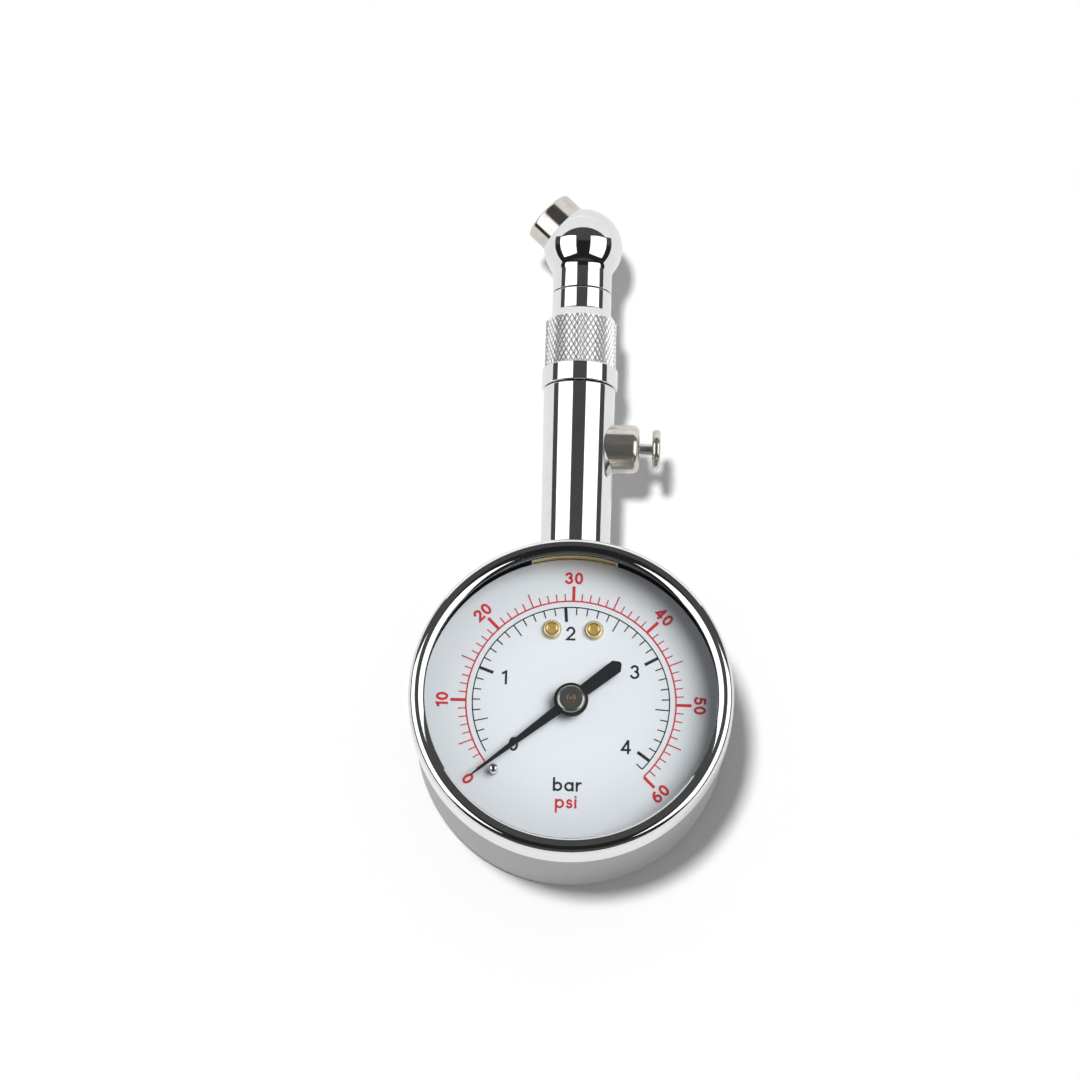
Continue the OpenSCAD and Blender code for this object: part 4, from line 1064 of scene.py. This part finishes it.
class GAUGE_OT_collar(bpy.types.Operator):
    """Turn the collar: a plain band, a diamond knurl, a shoulder and a nose"""

    bl_idname = "gauge.collar"
    bl_label = "Knurled collar"

    def execute(self, context):
        size = sizes()
        shoulder_end = KNURL_END + 1.8 * MM
        edge = 0.3 * MM
        bore_r = 5.55 * MM
        nose_bore_r = 3.6 * MM
        band = rounded([
            (bore_r, COLLAR_Y, 0), (COLLAR_R, COLLAR_Y, edge), (COLLAR_R, KNURL_Y, edge),
            (bore_r, KNURL_Y, 0)])
        mesh = lathe(band, size.facets, STEM_LINE, hollow=True)
        knurl_band(KNURL_Y, KNURL_END, mesh)
        nose = rounded([
            (nose_bore_r, KNURL_END, 0), (size.knurl_r - 0.1 * MM, KNURL_END, 0.05 * MM),
            (size.neck_r, shoulder_end, 1 * MM), (size.neck_r, COLLAR_END, 0.15 * MM),
            (nose_bore_r, COLLAR_END, 0)])
        lathe(nose, size.facets, STEM_LINE, hollow=True, mesh=mesh)
        add_piece("collar", mesh, "collar", "chrome", ["swivel_collar"], "knurled_chrome", 18)
        dress("shank_ring")
        return {"FINISHED"}


class GAUGE_OT_head(bpy.types.Operator):
    """Turn the ball head with its neck and the angled nozzle, and finish what they hold"""

    bl_idname = "gauge.head"
    bl_label = "Ball head and nozzle"

    def execute(self, context):
        size = sizes()
        blend_r = 2 * MM
        seat = 5.4 * MM
        slant = Vector((-sin(size.nozzle_angle), cos(size.nozzle_angle), 0))
        ball = Vector((0, size.ball_y, STEM_Z))
        blend_x = size.neck_r + blend_r
        reach = sqrt((BALL_R + blend_r) ** 2 - blend_x ** 2)
        blend_y = size.ball_y - reach
        meet = degrees(atan2(reach, blend_x))
        neck = [(0, HEAD_Y, 0), (size.neck_r, HEAD_Y, 0.15 * MM), (size.neck_r, blend_y, 0)]
        profile = rounded(neck)[:-1] + bow((blend_x, blend_y), blend_r, 180, 180 - meet, 10)
        profile += bow((0, size.ball_y), BALL_R, -meet, 90, 72)[1:-1]
        profile.append(Vector((0, size.ball_y + BALL_R)))
        mesh = lathe(profile, size.facets, STEM_LINE)
        cut = bmesh.ops.bisect_plane(
            mesh, geom=mesh.verts[:] + mesh.edges[:] + mesh.faces[:], plane_co=ball + slant * seat,
            plane_no=slant, clear_outer=True)
        rim = [edge for edge in cut["geom_cut"] if isinstance(edge, bmesh.types.BMEdge)]
        bmesh.ops.contextual_create(mesh, geom=rim)
        add_piece("ball", mesh, "head", "chrome", ["ball_head"])

        foot = seat + 0.02 * MM
        mouth = 10.1 * MM
        seal_top = 6.2 * MM
        throat_r = 3.6 * MM
        nozzle = rounded([
            (throat_r, foot, 0), (size.nozzle_r, foot, 0.05 * MM), (size.nozzle_r, mouth, 0.5 * MM),
            (size.valve_bore_r, mouth, 0.2 * MM), (size.valve_bore_r, seal_top, 0),
            (throat_r, seal_top, 0)], 8)
        mesh = lathe(nozzle, size.facets, line_from(ball, slant), hollow=True)
        add_piece("nozzle", mesh, "head", "satin_nickel", ["chuck_nozzle"])
        dress("swivel_shank", "swivel_seal", "valve_seal", "depressor_pin")
        return {"FINISHED"}


# --- Studio ----------------------------------------------------------------------------------

class GAUGE_OT_camera(bpy.types.Operator):
    """Set the camera above the dial, tilted towards the case"""

    bl_idname = "gauge.camera"
    bl_label = "Camera"

    tilt, slant, roll = -16.13, -0.5, -1.65
    aside, along = 6.1 * MM, -30.173 * MM
    pixels_per_mm = 5.102
    image_pixels = 1080
    sensor = 36

    def execute(self, context):
        data = bpy.data.cameras.new("camera")
        distance_away = studio().camera_distance
        data.sensor_width = self.sensor
        data.lens = self.pixels_per_mm * distance_away / MM / self.image_pixels * self.sensor
        data.clip_end = 20
        camera = bpy.data.objects.new("camera", data)
        context.collection.objects.link(camera)
        turns = ((self.roll, "Z"), (self.tilt, "X"), (self.slant, "Y"))
        roll, tilt, slant = (Matrix.Rotation(radians(angle), 4, axis) for angle, axis in turns)
        back = (roll @ tilt @ slant).transposed()
        place = back @ Vector((-self.aside, -self.along, distance_away)) + Vector((0, 0, CREST_Z))
        camera.matrix_world = Matrix.Translation(place) @ back
        context.scene.camera = camera
        return {"FINISHED"}


class GAUGE_OT_stage(bpy.types.Operator):
    """Lay a white floor and light it: two light panels, a soft key and a pale room"""

    bl_idname = "gauge.stage"
    bl_label = "Floor and lights"

    floor_half = 4.0
    floor_tone = 0.95
    panel_distance = 1.2
    # Directions of the panels' edges, in degrees from the point above the gauge.
    panel_tilt = 45.5
    panel_half = 24.5
    panel_near, panel_far = -31, 24
    card = (300 * MM, 60 * MM)
    card_y, card_z = 159 * MM, 52.4 * MM
    # Each key's lean from the left and from the far side, its softness, and its share of the light.
    dial_key = (-32, 10, 44, 1.3)
    floor_key = (8.5, 2.5, 7, 1)

    def execute(self, context):
        context.scene.view_settings.view_transform = "Standard"
        floor = self.lay_floor(context)
        self.hang_panels(context)
        self.add_key(context, "floor_key", self.floor_key, floor, "INCLUDE")
        self.add_key(context, "dial_key", self.dial_key, floor, "EXCLUDE")
        self.light_room(context)
        return {"FINISHED"}

    def lay_floor(self, context):
        mesh = bmesh.new()
        bmesh.ops.create_grid(mesh, x_segments=2, y_segments=2, size=self.floor_half)
        data = bpy.data.meshes.new("floor")
        mesh.to_mesh(data)
        mesh.free()
        floor = bpy.data.objects.new("floor", data)
        context.collection.objects.link(floor)
        finish = Finish("floor", grey(self.floor_tone), roughness=0.9, specular=0.0)
        mirrored = finish.node("ShaderNodeLightPath").out("Is Glossy Ray")
        half = grey(studio().surround / 2)
        finish.set("Base Color", finish.blend(mirrored, finish.colour, half))
        finish.set("Emission Color", finish.blend(mirrored, grey(0), half))
        finish.set("Emission Strength", 1.0)
        data.materials.append(finish.material)
        return floor

    def hang_panels(self, context):
        """Two panels beside the camera and a pale card past the head, seen only by metal and glass."""
        edges = (self.panel_near, self.panel_far, self.panel_half)
        near, far, half = (self.panel_distance * tan(radians(angle)) for angle in edges)
        above = Matrix.Translation((0, (near + far) / 2, self.panel_distance))
        for side in (-1, 1):
            place = Matrix.Rotation(radians(self.panel_tilt) * side, 4, "Y") @ above
            self.add_panel(context, studio().panel_light, (2 * half, far - near), place)
        upright = Matrix.Rotation(radians(-90), 4, "X")
        place = Matrix.Translation((0, self.card_y, self.card_z)) @ upright
        self.add_panel(context, studio().surround, self.card, place)

    def add_panel(self, context, radiance, spread, place):
        data = bpy.data.lights.new("panel", "AREA")
        data.shape = "RECTANGLE"
        data.size, data.size_y = spread
        data.energy = radiance * pi * data.size * data.size_y
        panel = bpy.data.objects.new("panel", data)
        context.collection.objects.link(panel)
        panel.matrix_world = place
        panel.visible_diffuse = False
        panel.visible_camera = False

    def add_key(self, context, name, aim, floor, link_state):
        """A soft key without a highlight, for the floor alone or for all but the floor."""
        *angles, share = aim
        from_left, from_far, softness = (radians(angle) for angle in angles)
        data = bpy.data.lights.new(name, "SUN")
        data.angle = softness
        data.energy = studio().key_light * pi * share
        key = bpy.data.objects.new(name, data)
        context.collection.objects.link(key)
        key.rotation_euler = (-from_far, -from_left, 0)
        key.visible_glossy = False
        lit = bpy.data.collections.new(name + "_lit")
        lit.objects.link(floor)
        lit.collection_objects[0].light_linking.link_state = link_state
        key.light_linking.receiver_collection = lit

    def light_room(self, context):
        """White to the camera; in reflections a dark ceiling with a pale surround."""
        world = bpy.data.worlds.new("room")
        context.scene.world = world
        world.use_nodes = True
        room = Nodes(world.node_tree)
        _, y, z = room.node("ShaderNodeTexCoord").out("Generated").parts()
        pale = 1 - z.ramp(-0.05, -0.01)
        seen = room.node("ShaderNodeLightPath")
        dim = y.ramp(0.02, 0.14).larger(1 - y.ramp(-0.8, -0.7))
        ceiling = room.blend(dim, grey(studio().ceiling / 4), grey(studio().ceiling))
        mirrored = room.blend(pale, ceiling, grey(studio().surround))
        shown = room.blend(seen.out("Is Glossy Ray"), grey(studio().fill_light), mirrored)
        straight = (seen.out("Is Camera Ray") + seen.out("Is Transmission Ray")).smaller(1.0)
        colour = room.blend(straight, shown, grey(1))
        light = room.node("ShaderNodeBackground", {}, {"Color": colour, "Strength": 1.0})
        room.node("ShaderNodeOutputWorld", {}, {"Surface": light})


# --- Panel and registration ------------------------------------------------------------------

STEPS = (
    GAUGE_OT_camera, GAUGE_OT_stage, GAUGE_OT_case, GAUGE_OT_bezel, GAUGE_OT_window, GAUGE_OT_dial,
    GAUGE_OT_print, GAUGE_OT_pointer, GAUGE_OT_movement, GAUGE_OT_stem, GAUGE_OT_bleed_valve,
    GAUGE_OT_collar, GAUGE_OT_head,
)


class GAUGE_PT_panel(bpy.types.Panel):
    """Lists the steps that make the gauge"""

    bl_idname = "GAUGE_PT_panel"
    bl_label = "Tyre pressure gauge"
    bl_space_type = "VIEW_3D"
    bl_region_type = "UI"
    bl_category = "Gauge"

    def draw(self, context):
        for step in STEPS:
            self.layout.operator(step.bl_idname)
        for group in (sizes(), colours(), studio()):
            for name in group.bl_rna.properties.keys():
                if name not in ("rna_type", "name"):
                    self.layout.prop(group, name)


GROUPS = {"gauge_sizes": GaugeSizes, "gauge_colours": GaugeColours, "gauge_studio": StudioSettings}


def register():
    for group in GROUPS.values():
        bpy.utils.register_class(group)
    for step in STEPS:
        bpy.utils.register_class(step)
    bpy.utils.register_class(GAUGE_PT_panel)
    for name, group in GROUPS.items():
        setattr(bpy.types.Scene, name, PointerProperty(type=group))


def unregister():
    for name in GROUPS:
        delattr(bpy.types.Scene, name)
    bpy.utils.unregister_class(GAUGE_PT_panel)
    for step in reversed(STEPS):
        bpy.utils.unregister_class(step)
    for group in reversed(GROUPS.values()):
        bpy.utils.unregister_class(group)


def main():
    register()
    for step in STEPS:
        group, name = step.bl_idname.split(".")
        getattr(getattr(bpy.ops, group), name)()


if __name__ == "__main__":
    main()
